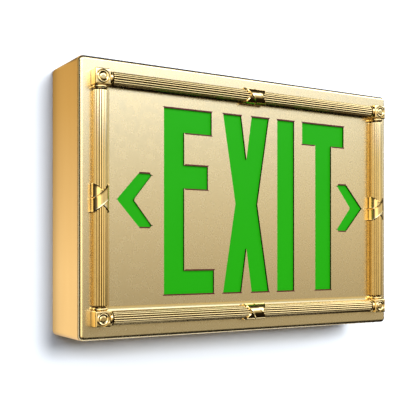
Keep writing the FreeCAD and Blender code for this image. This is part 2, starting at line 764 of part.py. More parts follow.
def make_board_standoffs():
    return [standoff(x, z, BOARD_STANDOFF) for x, z in control_board_holes()]


def make_led_board(side):
    y = (LED_BOARD_Y - BOARD_T, LED_BOARD_Y)
    board = centred((0.0, LED_BOARD_W), y, (side * LED_BOARD_Z, LED_BOARD_H))
    return board.cut([disc_y(SCREW_R, y, x, z) for x, z in led_board_holes()])


def make_leds(side):
    """White surface-mounted lamps in a row, each with a round lens."""
    face = LED_BOARD_Y - BOARD_T
    z = side * LED_BOARD_Z
    lamps = []
    for index in range(LED_COUNT):
        x = (index - (LED_COUNT - 1) / 2) * LED_PITCH
        body = centred((x, LED_SIZE), (face - LED_H, face), (z, LED_SIZE))
        lens = disc_y(LED_LENS_R, (face - LED_H - LED_LENS_H, face - LED_H), x, z)
        lamps.append(union([body, lens]))
    return lamps


def make_led_screws():
    return [board_screw(x, z, LED_BOARD_Y) for x, z in led_board_holes()]


def make_board_screws():
    return [board_screw(x, z, BOARD_Y) for x, z in control_board_holes()]


def make_circuit_board():
    y = (BOARD_FRONT_Y, BOARD_Y)
    board = centred((BOARD_X, BOARD_W), y, (0.0, BOARD_H))
    return board.cut([disc_y(SCREW_R, y, x, z) for x, z in control_board_holes()])


def on_board(size, at):
    """Box standing on the control board: (across, up, height) at (x, z)."""
    across, up, tall = size
    return centred((BOARD_X + at[0], across), (BOARD_FRONT_Y - tall, BOARD_FRONT_Y), (at[1], up))


def make_transformer():
    """Laminated core with its wound bobbin through the middle."""
    core = on_board((CORE_W, CORE_H, CORE_T), (0.0, TRANSFORMER_Z))
    coil = on_board((COIL_W, COIL_H, COIL_T), (0.0, TRANSFORMER_Z))
    return union([core, round_corners(coil, 3.0, AXIS_X)])


def make_relay():
    return round_corners(on_board(RELAY, RELAY_AT), 0.8)


def make_capacitors():
    cans = []
    for index in range(2):
        x = BOARD_X + CAPACITOR_AT[0]
        z = CAPACITOR_AT[1] - index * CAPACITOR_PITCH
        can = disc_y(CAPACITOR_R, (BOARD_FRONT_Y - CAPACITOR_H, BOARD_FRONT_Y), x, z)
        cans.append(can.makeChamfer(CAPACITOR_RIM, edges_at_y(can, BOARD_FRONT_Y - CAPACITOR_H)))
    return cans


def make_terminal_block():
    """Screw terminals for the supply wires, which enter from the wiring hole."""
    body = on_board(TERMINAL, TERMINAL_AT)
    way = TERMINAL[0] / TERMINAL_WAYS
    front = BOARD_FRONT_Y - TERMINAL[2]
    cuts = []
    for index in range(TERMINAL_WAYS):
        x = BOARD_X + TERMINAL_AT[0] + (index - (TERMINAL_WAYS - 1) / 2) * way
        cuts.append(disc_y(TERMINAL_HOLE_R, (front, front + 2.5), x, TERMINAL_AT[1]))
        wire = Part.makeCylinder(TERMINAL_HOLE_R, 4.0, vec(x, front + 5.5, TERMINAL_AT[1] - TERMINAL[1] / 2), AXIS_Z)
        cuts.append(wire)
    return body.cut(cuts)


def make_battery_socket():
    """Open plug socket for the battery lead."""
    body = on_board(SOCKET, SOCKET_AT)
    across, up, tall = SOCKET
    inner = on_board((across - 2 * SOCKET_WALL, up - 2 * SOCKET_WALL, tall), SOCKET_AT)
    return body.cut(placed(inner, 0.0, -SOCKET_WALL, 0.0))


def make_battery_pack():
    """Cells side by side in one shrink sleeve."""
    pitch = 2 * CELL_R
    half = CELLS * CELL_R
    z = (-CELL_L / 2, CELL_L / 2)
    pieces = []
    for index in range(CELLS):
        x = BATTERY_X + (index - (CELLS - 1) / 2) * pitch
        pieces.append(disc_z(CELL_R, z, x, BATTERY_Y))
    web = (BATTERY_X - half + CELL_R, BATTERY_X + half - CELL_R)
    pieces.append(block(web, (BATTERY_Y - CELL_R * 0.8, BATTERY_Y + CELL_R * 0.8), z))
    return union(pieces)


def make_battery_strap():
    """Bent strip over the battery, with a foot at each side on the back wall."""
    half = CELLS * CELL_R
    front = FLOOR_Y - 2 * CELL_R
    z = (-STRAP_W / 2, STRAP_W / 2)
    outer = block((BATTERY_X - half - STRAP_T, BATTERY_X + half + STRAP_T), (front - STRAP_T, FLOOR_Y), z)
    inner = block((BATTERY_X - half, BATTERY_X + half), (front, FLOOR_Y), z)
    reach = half + STRAP_T + STRAP_FOOT
    foot = block((BATTERY_X - reach, BATTERY_X + reach), (FLOOR_Y - STRAP_T, FLOOR_Y), z)
    strap = union([outer, foot]).cut(inner)
    return strap.cut([disc_y(SCREW_R, (FLOOR_Y - STRAP_T, FLOOR_Y), x, 0.0) for x, _ in strap_screw_places()])


def floor_screw(x, z, washer_t):
    """Screw through the back wall, with its head above a piece of that thickness."""
    screw = pan_screw(washer_t + WALL)
    screw.rotate(vec(0, 0, 0), AXIS_Z, 180)
    return placed(screw, x, FLOOR_Y - washer_t, z)


def make_strap_screws():
    return [floor_screw(x, z, STRAP_T) for x, z in strap_screw_places()]


def make_ground_screw():
    return floor_screw(GROUND_X, GROUND_Z, 0.0)


# ---------------------------------------------------------------- side fittings
def make_test_switch():
    """Push switch: its body is inside the wall and its bushing passes through."""
    inside = SIDE_X - WALL
    body = disc_x(SWITCH_R, (inside - SWITCH_L, inside), FITTING_Y, BUTTON_Z)
    bushing = disc_x(BUSHING_R, (inside, SIDE_X + BUSHING_PROUD), FITTING_Y, BUTTON_Z)
    mouth = SIDE_X + BUSHING_PROUD
    depth = BUTTON_INSIDE + BUTTON_TRAVEL + RUN_GAP
    bore = disc_x(BUTTON_R + BUTTON_CLEARANCE, (mouth - depth, mouth + 1.0), FITTING_Y, BUTTON_Z)
    return union([body, bushing]).cut(bore)


def make_switch_nut():
    """Six-sided nut that clamps the bushing on the outside of the wall."""
    corners = []
    for index in range(6):
        angle = index * math.pi / 3
        corners.append(vec(SIDE_X, FITTING_Y + NUT_R * math.cos(angle), BUTTON_Z + NUT_R * math.sin(angle)))
    outline = Part.Face(Part.makePolygon(corners + corners[:1]))
    nut = outline.extrude(vec(NUT_H, 0, 0))
    return nut.cut(disc_x(BUSHING_R, (SIDE_X, SIDE_X + NUT_H), FITTING_Y, BUTTON_Z))


def make_test_button():
    mouth = SIDE_X + BUSHING_PROUD
    cap = disc_x(BUTTON_R, (mouth - BUTTON_INSIDE, mouth + BUTTON_PROUD), FITTING_Y, BUTTON_Z)
    rim = [e for e in cap.Edges if abs(e.BoundBox.XMin - mouth - BUTTON_PROUD) < TINY]
    return cap.makeChamfer(BUTTON_EDGE, rim)


def make_lamp_bezel():
    """Turned ring on the outside of the wall round the charge lamp."""
    ring = disc_x(BEZEL_R, (SIDE_X, SIDE_X + BEZEL_H), FITTING_Y, LAMP_Z)
    return ring.cut(disc_x(LENS_R, (SIDE_X, SIDE_X + BEZEL_H), FITTING_Y, LAMP_Z))


def make_charge_lamp():
    """Lamp body in the wall, hollow for its lens."""
    inside = SIDE_X - WALL
    body = disc_x(LAMP_BODY_R, (inside - LAMP_BODY_L, SIDE_X), FITTING_Y, LAMP_Z)
    return body.cut(disc_x(LENS_R, (inside - 2.0, SIDE_X), FITTING_Y, LAMP_Z))


def make_lamp_lens():
    straight = SIDE_X + BEZEL_H
    lens = disc_x(LENS_R, (SIDE_X - WALL - 2.0, SIDE_X + LENS_PROUD + BEZEL_H), FITTING_Y, LAMP_Z)
    rim = [e for e in lens.Edges if e.BoundBox.XMin > straight]
    return lens.makeFillet(min(LENS_PROUD * 0.9, LENS_R * 0.8), rim)


def make_canopy_plug():
    """Snap-in cap in the top wall: a flange outside and a hollow spigot inside."""
    flange = disc_z(CANOPY_R + PLUG_FLANGE, (TOP_Z, TOP_Z + PLUG_T), 0.0, FITTING_Y)
    rim = [e for e in flange.Edges if e.BoundBox.ZMin > TOP_Z + PLUG_T - TINY]
    flange = flange.makeChamfer(PLUG_T / 2, rim)
    spigot = disc_z(CANOPY_R, (TOP_Z - PLUG_REACH, TOP_Z), 0.0, FITTING_Y)
    hollow = disc_z(CANOPY_R - PLUG_WALL, (TOP_Z - PLUG_REACH, TOP_Z), 0.0, FITTING_Y)
    return union([flange, spigot]).cut(hollow)


# ---------------------------------------------------------------- whole sign
def build_nodes():
    lock_screw = make_lock_screw()
    lock_nut = make_lock_nut()
    return {
        "housing": make_housing(),
        "front_cover": make_front_cover(),
        "hinge_pin_upper": make_hinge_pin(HINGE_Z),
        "hinge_pin_lower": make_hinge_pin(-HINGE_Z),
        "lock_screws": [lock_screw, mirrored_z(lock_screw)],
        "lock_nuts": [lock_nut, mirrored_z(lock_nut)],
        "reeded_rod_top": make_horizontal_rod(1),
        "reeded_rod_bottom": make_horizontal_rod(-1),
        "reeded_rod_left": make_vertical_rod(-1),
        "reeded_rod_right": make_vertical_rod(1),
        "corner_block_top_left": make_corner_block(-1, 1),
        "corner_block_top_right": make_corner_block(1, 1),
        "corner_block_bottom_left": make_corner_block(-1, -1),
        "corner_block_bottom_right": make_corner_block(1, -1),
        "moulding_screws": make_moulding_screws(),
        "green_panel": make_green_panel(),
        "panel_clips": make_panel_clips(),
        "clip_screws": make_clip_screws(),
        "led_board_upper": make_led_board(1),
        "led_board_lower": make_led_board(-1),
        "leds_upper": make_leds(1),
        "leds_lower": make_leds(-1),
        "led_standoffs": make_led_standoffs(),
        "led_screws": make_led_screws(),
        "circuit_board": make_circuit_board(),
        "board_standoffs": make_board_standoffs(),
        "board_screws": make_board_screws(),
        "transformer": make_transformer(),
        "relay": make_relay(),
        "capacitors": make_capacitors(),
        "terminal_block": make_terminal_block(),
        "battery_socket": make_battery_socket(),
        "battery_pack": make_battery_pack(),
        "battery_strap": make_battery_strap(),
        "strap_screws": make_strap_screws(),
        "ground_screw": make_ground_screw(),
        "test_switch": make_test_switch(),
        "switch_nut": make_switch_nut(),
        "test_button": make_test_button(),
        "charge_lamp": make_charge_lamp(),
        "lamp_bezel": make_lamp_bezel(),
        "lamp_lens": make_lamp_lens(),
        "canopy_plug": make_canopy_plug(),
    }


def main():
    os.makedirs("parts", exist_ok=True)
    for name, shape in build_nodes().items():
        if isinstance(shape, list):
            shape = Part.makeCompound(shape)
        shape.exportStep("parts/" + name + ".step")
        print(name, len(shape.Solids), round(shape.Volume, 1), shape.isValid())


main()
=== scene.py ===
import enum
import json
import logging
import math
from collections.abc import Mapping, Sequence
from dataclasses import dataclass

import bmesh
import bpy
from bmesh.types import BMEdge, BMesh, BMFace, BMVert
from bpy.types import ID, Material, Node, NodeSocket, NodeTree, Object
from mathutils import Matrix, Vector


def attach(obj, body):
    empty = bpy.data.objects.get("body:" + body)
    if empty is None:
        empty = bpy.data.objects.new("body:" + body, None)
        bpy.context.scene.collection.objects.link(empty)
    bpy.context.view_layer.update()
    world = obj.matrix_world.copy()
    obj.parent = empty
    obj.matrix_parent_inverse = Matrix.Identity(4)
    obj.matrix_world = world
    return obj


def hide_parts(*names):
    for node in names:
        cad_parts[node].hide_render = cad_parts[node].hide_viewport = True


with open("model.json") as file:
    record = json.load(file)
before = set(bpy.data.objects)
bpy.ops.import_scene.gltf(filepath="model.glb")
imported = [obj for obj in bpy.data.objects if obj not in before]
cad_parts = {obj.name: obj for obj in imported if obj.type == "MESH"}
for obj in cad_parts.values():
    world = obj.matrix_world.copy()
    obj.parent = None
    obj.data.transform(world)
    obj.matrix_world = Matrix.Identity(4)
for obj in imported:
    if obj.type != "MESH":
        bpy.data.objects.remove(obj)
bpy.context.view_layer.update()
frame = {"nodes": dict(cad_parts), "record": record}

LOG = logging.getLogger("exit_sign")
MM = 0.001
AXIS_X = Vector((1.0, 0.0, 0.0))
AXIS_Y = Vector((0.0, 1.0, 0.0))
TINY = 1e-6

# closest distance of two vertices in millimetres, and the turn from which an edge is shaded sharp
WELD = 0.004
SHARP_TURN = math.radians(38.0)

# sockets of a Mix node that mixes colours, and its result
MIX_LOW = 6
MIX_HIGH = 7
MIX_OUT = 2

# where the brass front lies, and how far the legend reaches from its middle, in millimetres
FACE_Y = -59.0
LEGEND_HALF_W = 131.0
LEGEND_HALF_H = 77.5

# noise of the finishes: octaves and softness of the blotches, octaves of the grain, the values that the
# noise mostly takes, and the lowest roughness
BLOTCH_DETAIL = 3.0
BLOTCH_SOFTNESS = 0.55
GRAIN_DETAIL = 2.0
NOISE_LOW = 0.3
NOISE_HIGH = 0.7
LEAST_ROUGHNESS = 0.02

# colours of a ramp, each with the value that it stands at
Stops = tuple[tuple[float, str], ...]


# ---------------------------------------------------------------- colour and nodes
def linear(code: str) -> tuple[float, float, float, float]:
    """Turns an sRGB hex colour into the linear values that shaders use.

    Args:
        code: Six hex digits after a number sign.

    Returns:
        Linear red, green, blue and an alpha of 1.
    """
    parts = [int(code[at:at + 2], 16) / 255 for at in (1, 3, 5)]
    light = [v / 12.92 if v <= 0.04045 else ((v + 0.055) / 1.055) ** 2.4 for v in parts]
    return (light[0], light[1], light[2], 1.0)


def add_node(tree: NodeTree, kind: str, inputs: Mapping | None = None, **settings: object) -> Node:
    """Adds a shader node with its settings, values and links.

    Args:
        tree: Node tree that gets the node.
        kind: Type name of the node.
        inputs: Values, or sockets to link from, by input name or number.
        **settings: Properties of the node itself.

    Returns:
        The new node.
    """
    node = tree.nodes.new(kind)
    for name, value in settings.items():
        setattr(node, name, value)
    for key, value in (inputs or {}).items():
        if isinstance(value, NodeSocket):
            tree.links.new(value, node.inputs[key])
        else:
            node.inputs[key].default_value = value
    return node


# ---------------------------------------------------------------- finishes
@dataclass(frozen=True)
class Finish:
    """A real material and how its surface was made.

    The colour drifts between two tones in soft blotches, the roughness drifts with
    it, and a fine grain stands in the surface.
    """

    name: str
    tone: str
    second_tone: str
    metallic: float = 0.0
    roughness: float = 0.5
    roughness_drift: float = 0.06
    blotch_mm: float = 3.0
    grain_mm: float = 0.5
    grain_depth_mm: float = 0.006
    stretch: tuple[float, float, float] = (1.0, 1.0, 1.0)
    ior: float = 1.5
    coat: float = 0.0
    coat_roughness: float = 0.1
    glow: float = 0.0
    specular: float = 0.5
    mask_tone: str = ""

    def build(self) -> Material:
        """Makes the Blender material.

        Returns:
            The finished material.
        """
        material = bpy.data.materials.new(self.name)
        material.use_nodes = True
        tree = material.node_tree
        tree.nodes.clear()
        place = add_node(tree, "ShaderNodeTexCoord")
        laid = add_node(tree, "ShaderNodeMapping", {"Vector": place.outputs["Object"], "Scale": self.stretch})
        blotch = add_node(tree, "ShaderNodeTexNoise", {
            "Vector": laid.outputs[0], "Scale": 1 / (self.blotch_mm * MM), "Detail": BLOTCH_DETAIL,
            "Roughness": BLOTCH_SOFTNESS})
        colour = add_node(tree, "ShaderNodeMix", {
            0: blotch.outputs["Fac"], MIX_LOW: linear(self.tone), MIX_HIGH: linear(self.second_tone)},
            data_type="RGBA").outputs[MIX_OUT]
        rough = add_node(tree, "ShaderNodeMapRange", {
            "Value": blotch.outputs["Fac"], "From Min": NOISE_LOW, "From Max": NOISE_HIGH,
            "To Min": max(self.roughness - self.roughness_drift, LEAST_ROUGHNESS),
            "To Max": self.roughness + self.roughness_drift})
        grain = add_node(tree, "ShaderNodeTexNoise", {
            "Vector": laid.outputs[0], "Scale": 1 / (self.grain_mm * MM), "Detail": GRAIN_DETAIL})
        bump = add_node(tree, "ShaderNodeBump", {
            "Strength": 1.0, "Distance": self.grain_depth_mm * MM, "Height": grain.outputs["Fac"]})
        mask = self.mask(tree, place)
        if mask is not None:
            colour = add_node(tree, "ShaderNodeMix", {
                0: mask, MIX_LOW: colour, MIX_HIGH: linear(self.mask_tone)},
                data_type="RGBA").outputs[MIX_OUT]
        shader = add_node(tree, "ShaderNodeBsdfPrincipled", {
            "Base Color": colour, "Roughness": rough.outputs[0], "Normal": bump.outputs[0],
            "Metallic": self.metallic, "IOR": self.ior, "Specular IOR Level": self.specular,
            "Coat Weight": self.coat, "Coat Roughness": self.coat_roughness})
        if self.glow:
            shader.inputs["Emission Color"].default_value = linear(self.tone)
            shader.inputs["Emission Strength"].default_value = self.glow
        add_node(tree, "ShaderNodeOutputMaterial", {"Surface": shader.outputs[0]})
        return material

    def mask(self, tree: NodeTree, place: Node) -> NodeSocket | None:
        """Finds where the mask tone covers the colour; a plain finish has no such place."""
        return None


@dataclass(frozen=True)
class StencilBrass(Finish):
    """Satin brass sheet whose stencil cut walls are painted a dark red-brown, partly as painted shade inside
    the openings.
    """

    # dark red-brown of the cut walls, partly painted shade
    mask_tone: str = "#3A0C08"
    wall_facing: float = 0.5

    def mask(self, tree: NodeTree, place: Node) -> NodeSocket:
        """Finds the cut walls: inside the legend area and not facing the front.

        Args:
            tree: Node tree of the material.
            place: Its Texture Coordinate node.

        Returns:
            A socket that is 1 on the cut walls and 0 elsewhere.
        """
        facing = add_node(tree, "ShaderNodeSeparateXYZ", {0: place.outputs["Normal"]})
        spot = add_node(tree, "ShaderNodeSeparateXYZ", {0: place.outputs["Object"]})
        limits = (
            (facing.outputs["Y"], self.wall_facing), (spot.outputs["X"], LEGEND_HALF_W * MM),
            (spot.outputs["Z"], LEGEND_HALF_H * MM))
        mask = None
        for value, limit in limits:
            size = add_node(tree, "ShaderNodeMath", {0: value}, operation="ABSOLUTE")
            inside = add_node(tree, "ShaderNodeMath", {0: size.outputs[0], 1: limit}, operation="LESS_THAN")
            mask = inside.outputs[0] if mask is None else add_node(
                tree, "ShaderNodeMath", {0: mask, 1: inside.outputs[0]}, operation="MULTIPLY").outputs[0]
        return mask


@dataclass(frozen=True)
class CastBrass(Finish):
    """Polished cast brass with a dark patina in its hollows and painted shade near the plate, in one dark
    tone.
    """

    # dark brown of the patina and of the painted shade
    mask_tone: str = "#2A190A"

    def mask(self, tree: NodeTree, place: Node) -> NodeSocket:
        """Finds the places darkened by patina and by painted shade."""
        return add_node(tree, "ShaderNodeAttribute", attribute_name="hollow").outputs["Fac"]


@dataclass(frozen=True)
class BoardLaminate(Finish):
    """Glass laminate under solder mask, with copper tracks showing as paler lines."""

    mask_tone: str = "#2C7A45"
    track_mm: float = 3.2
    track_scatter: float = 0.7
    track_from: float = 0.55
    track_to: float = 0.6

    def mask(self, tree: NodeTree, place: Node) -> NodeSocket:
        """Finds the tracks, which run between square cells.

        Args:
            tree: Node tree of the material.
            place: Its Texture Coordinate node.

        Returns:
            A socket that is 1 on the tracks and 0 elsewhere.
        """
        cells = add_node(tree, "ShaderNodeTexVoronoi", {
            "Vector": place.outputs["Object"], "Scale": 1 / (self.track_mm * MM),
            "Randomness": self.track_scatter}, distance="MANHATTAN", feature="F1")
        return add_node(tree, "ShaderNodeMapRange", {
            "Value": cells.outputs["Distance"], "From Min": self.track_from,
            "From Max": self.track_to}).outputs[0]


# Brass sheet, pressed, brushed and lacquered: warm gold with a soft blurred sheen.
CASE_BRASS = Finish(
    "brushed_lacquered_brass_sheet", "#F3C572", "#ECBA64", metallic=1.0, roughness=0.34,
    roughness_drift=0.03, blotch_mm=30.0, grain_mm=0.9, grain_depth_mm=0.004, stretch=(1.0, 1.0, 0.12))
# The same sheet with a paler satin lacquer: cream to olive blotches a few millimetres wide.
FACE_BRASS = StencilBrass(
    "satin_lacquered_brass_sheet", "#F2E0B2", "#DFC993", metallic=1.0, roughness=0.26,
    roughness_drift=0.04, blotch_mm=6.0, grain_mm=1.6, grain_depth_mm=0.004)
# Cast brass, polished on its high places: sharp bright streaks between brown patina in the hollows, with
# painted shade near the plate.
MOULDING_BRASS = CastBrass(
    "polished_cast_brass", "#F0D79C", "#E3C784", metallic=1.0, roughness=0.12, roughness_drift=0.04,
    blotch_mm=5.0, grain_mm=0.6)
# Dark red line along the level edges of the openings, partly painted shade along their top edges: dark,
# slightly glossy, unevenly thick.
EDGE_LINE_PAINT = Finish(
    "dark_red_edge_line_painted_shade", "#520E14", "#2E0708", roughness=0.45, grain_depth_mm=0.02, specular=0.3)
FINISHES: dict[str, Finish] = {
    "brass_case": CASE_BRASS,
    "brass_face": FACE_BRASS,
    "brass_moulding": MOULDING_BRASS,
    # Steel screws with bright zinc: pale bluish grey, slightly cloudy.
    "steel_fastener": Finish(
        "zinc_plated_steel", "#B9BCC2", "#A5A9B2", metallic=1.0, roughness=0.32, blotch_mm=1.5,
        grain_mm=0.3),
    # Cast acrylic sheet, dyed green and lit from behind: even, saturated, with a soft gloss.
    "green_acrylic": Finish(
        "backlit_green_acrylic_sheet", "#1A8C07", "#178505", roughness=0.42, roughness_drift=0.04,
        blotch_mm=60.0, grain_mm=2.0, grain_depth_mm=0.004, ior=1.49, glow=0.22, specular=0.15),
    # Tempered spring strip: dull grey with a rolled grain.
    "spring_steel": Finish(
        "rolled_spring_steel", "#94969B", "#7F8288", metallic=1.0, roughness=0.36, blotch_mm=4.0,
        stretch=(0.2, 1.0, 1.0)),
    # Glass laminate with green solder mask: deep green, with paler tracks.
    "board_laminate": BoardLaminate(
        "solder_masked_glass_laminate", "#0F4A24", "#12552A", roughness=0.38, blotch_mm=9.0,
        grain_mm=0.7, grain_depth_mm=0.01),
    # White solder mask over aluminium: chalky white, faintly uneven.
    "led_board_white": Finish(
        "white_solder_mask", "#DCDEDC", "#D2D5D3", roughness=0.42, blotch_mm=8.0, grain_mm=0.7,
        grain_depth_mm=0.008),
    # Silicone filled with phosphor: pale yellow with a soft gloss.
    "led_white": Finish(
        "phosphor_filled_silicone", "#EFE9B6", "#E6DC92", roughness=0.3, blotch_mm=2.0, grain_mm=0.4,
        grain_depth_mm=0.004),
    # Stacked steel laminations dipped in varnish: dark, with fine layers.
    "transformer_steel": Finish(
        "varnished_steel_laminations", "#3A3634", "#2B2827", metallic=0.4, roughness=0.45,
        blotch_mm=5.0, grain_mm=0.6, grain_depth_mm=0.05, stretch=(0.15, 1.0, 0.15)),
    # Epoxy moulded over the component: black, evenly dull.
    "component_black": Finish(
        "moulded_black_epoxy", "#1B1B1E", "#232326", roughness=0.5, blotch_mm=4.0,
        grain_depth_mm=0.015),
    # Shrunk sleeve: dark blue, tight and glossy.
    "capacitor_sleeve": Finish(
        "blue_shrink_sleeve_pvc", "#1B2440", "#222C4C", roughness=0.25, blotch_mm=5.0, grain_mm=0.8,
        ior=1.53),
    # Glass-filled polyamide, moulded: green with a dull skin.
    "terminal_green": Finish(
        "moulded_green_polyamide", "#1F7A43", "#1B6E3B", roughness=0.45, grain_depth_mm=0.01, ior=1.53),
    # Undyed polyamide, moulded: ivory with a dull skin.
    "socket_white": Finish(
        "moulded_natural_polyamide", "#E4E1D4", "#D9D5C6", roughness=0.4, grain_depth_mm=0.01,
        ior=1.53),
    # Clear blue sleeve shrunk over the cells: glossy, slightly wavy.
    "battery_sleeve": Finish(
        "clear_blue_shrink_sleeve_pvc", "#1C5CA4", "#174F92", roughness=0.22, blotch_mm=9.0,
        grain_mm=1.5, grain_depth_mm=0.02, ior=1.53, coat=0.3),
    # Zinc plate dyed green: metallic green, slightly cloudy.
    "ground_green": Finish(
        "green_dyed_zinc_plate", "#1F7A3C", "#176A31", metallic=0.8, roughness=0.35, blotch_mm=1.5,
        grain_mm=0.3),
    # Black polyamide, moulded: half matt with a fine grain.
    "switch_black": Finish(
        "moulded_black_polyamide", "#151517", "#1D1D20", roughness=0.42, grain_mm=0.4,
        grain_depth_mm=0.01, ior=1.53),
    # Moulded ABS: even red with a clean gloss.
    "button_red": Finish(
        "moulded_red_abs", "#B01812", "#A01410", roughness=0.3, blotch_mm=2.0, grain_mm=0.4, ior=1.54,
        coat=0.2),
    # Dyed polycarbonate, moulded clear: bright red with a sharp gloss.
    "lamp_red": Finish(
        "clear_red_polycarbonate", "#C81A14", "#B41510", roughness=0.12, grain_mm=1.0,
        grain_depth_mm=0.003, ior=1.58, coat=0.5, glow=0.15),
    # Bright nickel on turned brass: warm white metal.
    "nickel_plate": Finish(
        "nickel_plated_brass", "#D8D2C6", "#CCC6BA", metallic=1.0, roughness=0.22, blotch_mm=2.0,
        grain_mm=0.3, grain_depth_mm=0.004),
}


# ---------------------------------------------------------------- mesh helpers
def add_object(name: str, data: ID) -> Object:
    """Links a new object to the scene.

    Args:
        name: Its name.
        data: Its mesh, light or camera.

    Returns:
        The object.
    """
    made = bpy.data.objects.new(name, data)
    bpy.context.scene.collection.objects.link(made)
    return made


def new_verts(made: Mapping[str, list]) -> list[BMVert]:
    """Picks the vertices out of what an operator made."""
    return [item for item in made["geom"] if isinstance(item, BMVert)]


def smooth_faces(bm: BMesh) -> None:
    """Shades faces smooth, apart from edges that turn sharply.

    Args:
        bm: Mesh of a piece.
    """
    for face in bm.faces:
        face.smooth = True
    for edge in bm.edges:
        edge.smooth = edge.calc_face_angle(0.0) < SHARP_TURN


def mesh_object(name: str, bm: BMesh, place: Matrix) -> Object:
    """Turns a closed mesh in millimetres into an object at the origin.

    Args:
        name: Name of the piece.
        bm: The mesh, which is used up.
        place: Where the mesh goes, in millimetres.

    Returns:
        The new object, linked to the scene.
    """
    bmesh.ops.remove_doubles(bm, verts=bm.verts[:], dist=WELD)
    bmesh.ops.transform(bm, matrix=Matrix.Scale(MM, 4) @ place, verts=bm.verts[:])
    bmesh.ops.recalc_face_normals(bm, faces=bm.faces[:])
    smooth_faces(bm)
    mesh = bpy.data.meshes.new(name)
    bm.to_mesh(mesh)
    bm.free()
    return add_object(name, mesh)


def lathe(bm: BMesh, outline: Sequence[tuple[float, float]], centre: Vector, axis: Vector,
          across: Vector, steps: int) -> list[BMVert]:
    """Spins an outline all the way round an axis.

    Args:
        bm: Mesh that gets the faces.
        outline: Places as (distance along the axis, radius).
        centre: A point of the axis.
        axis: Direction of the axis.
        across: Direction from the axis in which the outline is drawn.
        steps: Parts of the full turn.

    Returns:
        The new vertices.
    """
    known = set(bm.verts)
    drawn = [bm.verts.new(centre + axis * along + across * radius) for along, radius in outline]
    edges = [bm.edges.new(pair) for pair in zip(drawn, drawn[1:])]
    bmesh.ops.spin(bm, geom=drawn + edges, cent=centre, axis=axis, angle=math.tau, steps=steps,
                   use_merge=True)
    return [vert for vert in bm.verts if vert not in known]


def cast_mesh() -> BMesh:
    """Starts a mesh whose vertices can say how dark they are painted, by patina and by painted shade.

    Returns:
        The empty mesh.
    """
    bm = bmesh.new()
    bm.verts.layers.float.new("hollow")
    return bm


def close_cuts(bm: BMesh) -> None:
    """Closes the openings of tubes and of cuts."""
    bmesh.ops.holes_fill(bm, edges=[edge for edge in bm.edges if edge.is_boundary], sides=0)


def cut_across(bm: BMesh, height: float, clear: bool = False) -> None:
    """Cuts a mesh at a height above the plate, and clears what lies behind the cut if asked to."""
    bmesh.ops.bisect_plane(bm, geom=bm.verts[:] + bm.edges[:] + bm.faces[:], plane_co=(0.0, -height, 0.0),
                           plane_no=AXIS_Y, clear_outer=clear)


def mark_hollows(bm: BMesh, darkening: Mapping[BMVert, float]) -> None:
    """Stores how dark each vertex is painted, by patina and by painted shade.

    Args:
        bm: Mesh of a cast piece.
        darkening: Values from 0 to 1; a vertex that is not named keeps 0.
    """
    layer = bm.verts.layers.float["hollow"]
    for vert, value in darkening.items():
        if vert.is_valid:
            vert[layer] = value


# ---------------------------------------------------------------- moulding
class Side(enum.Enum):
    """Which side of the frame a rod lies on."""

    TOP = "top"
    BOTTOM = "bottom"
    LEFT = "left"
    RIGHT = "right"

    @property
    def soldered(self) -> float:
        """The side of the rod, as the sign of its own Z, where solder shows, or 0 for none."""
        return {Side.TOP: 0.0, Side.LEFT: -1.0}.get(self, 1.0)


@dataclass
class Moulding:
    """Sizes that the rods and blocks of the frame share, in millimetres."""

    half_x: float = 144.5
    half_z: float = 93.3
    block: float = 12.7
    block_height: float = 9.4
    rod_radius: float = 5.7
    rod_top: float = 9.0

    @property
    def axis_height(self) -> float:
        """Height of a rod's axis above the face."""
        return self.rod_top - self.rod_radius

    def rod_place(self, side: Side) -> Matrix:
        """Says where a rod goes that is drawn along X on the plane y = 0.

        Args:
            side: Its side of the frame.

        Returns:
            The place, in millimetres.
        """
        if side in (Side.TOP, Side.BOTTOM):
            up = self.half_z if side is Side.TOP else -self.half_z
            return Matrix.Translation((0.0, FACE_Y, up))
        out = self.half_x if side is Side.RIGHT else -self.half_x
        return Matrix.Translation((out, FACE_Y, 0.0)) @ Matrix.Rotation(math.radians(-90.0), 4, "Y")

    def rod_length(self, side: Side) -> float:
        """Length of a rod between two blocks."""
        half = self.half_x if side in (Side.TOP, Side.BOTTOM) else self.half_z
        return 2 * half - self.block


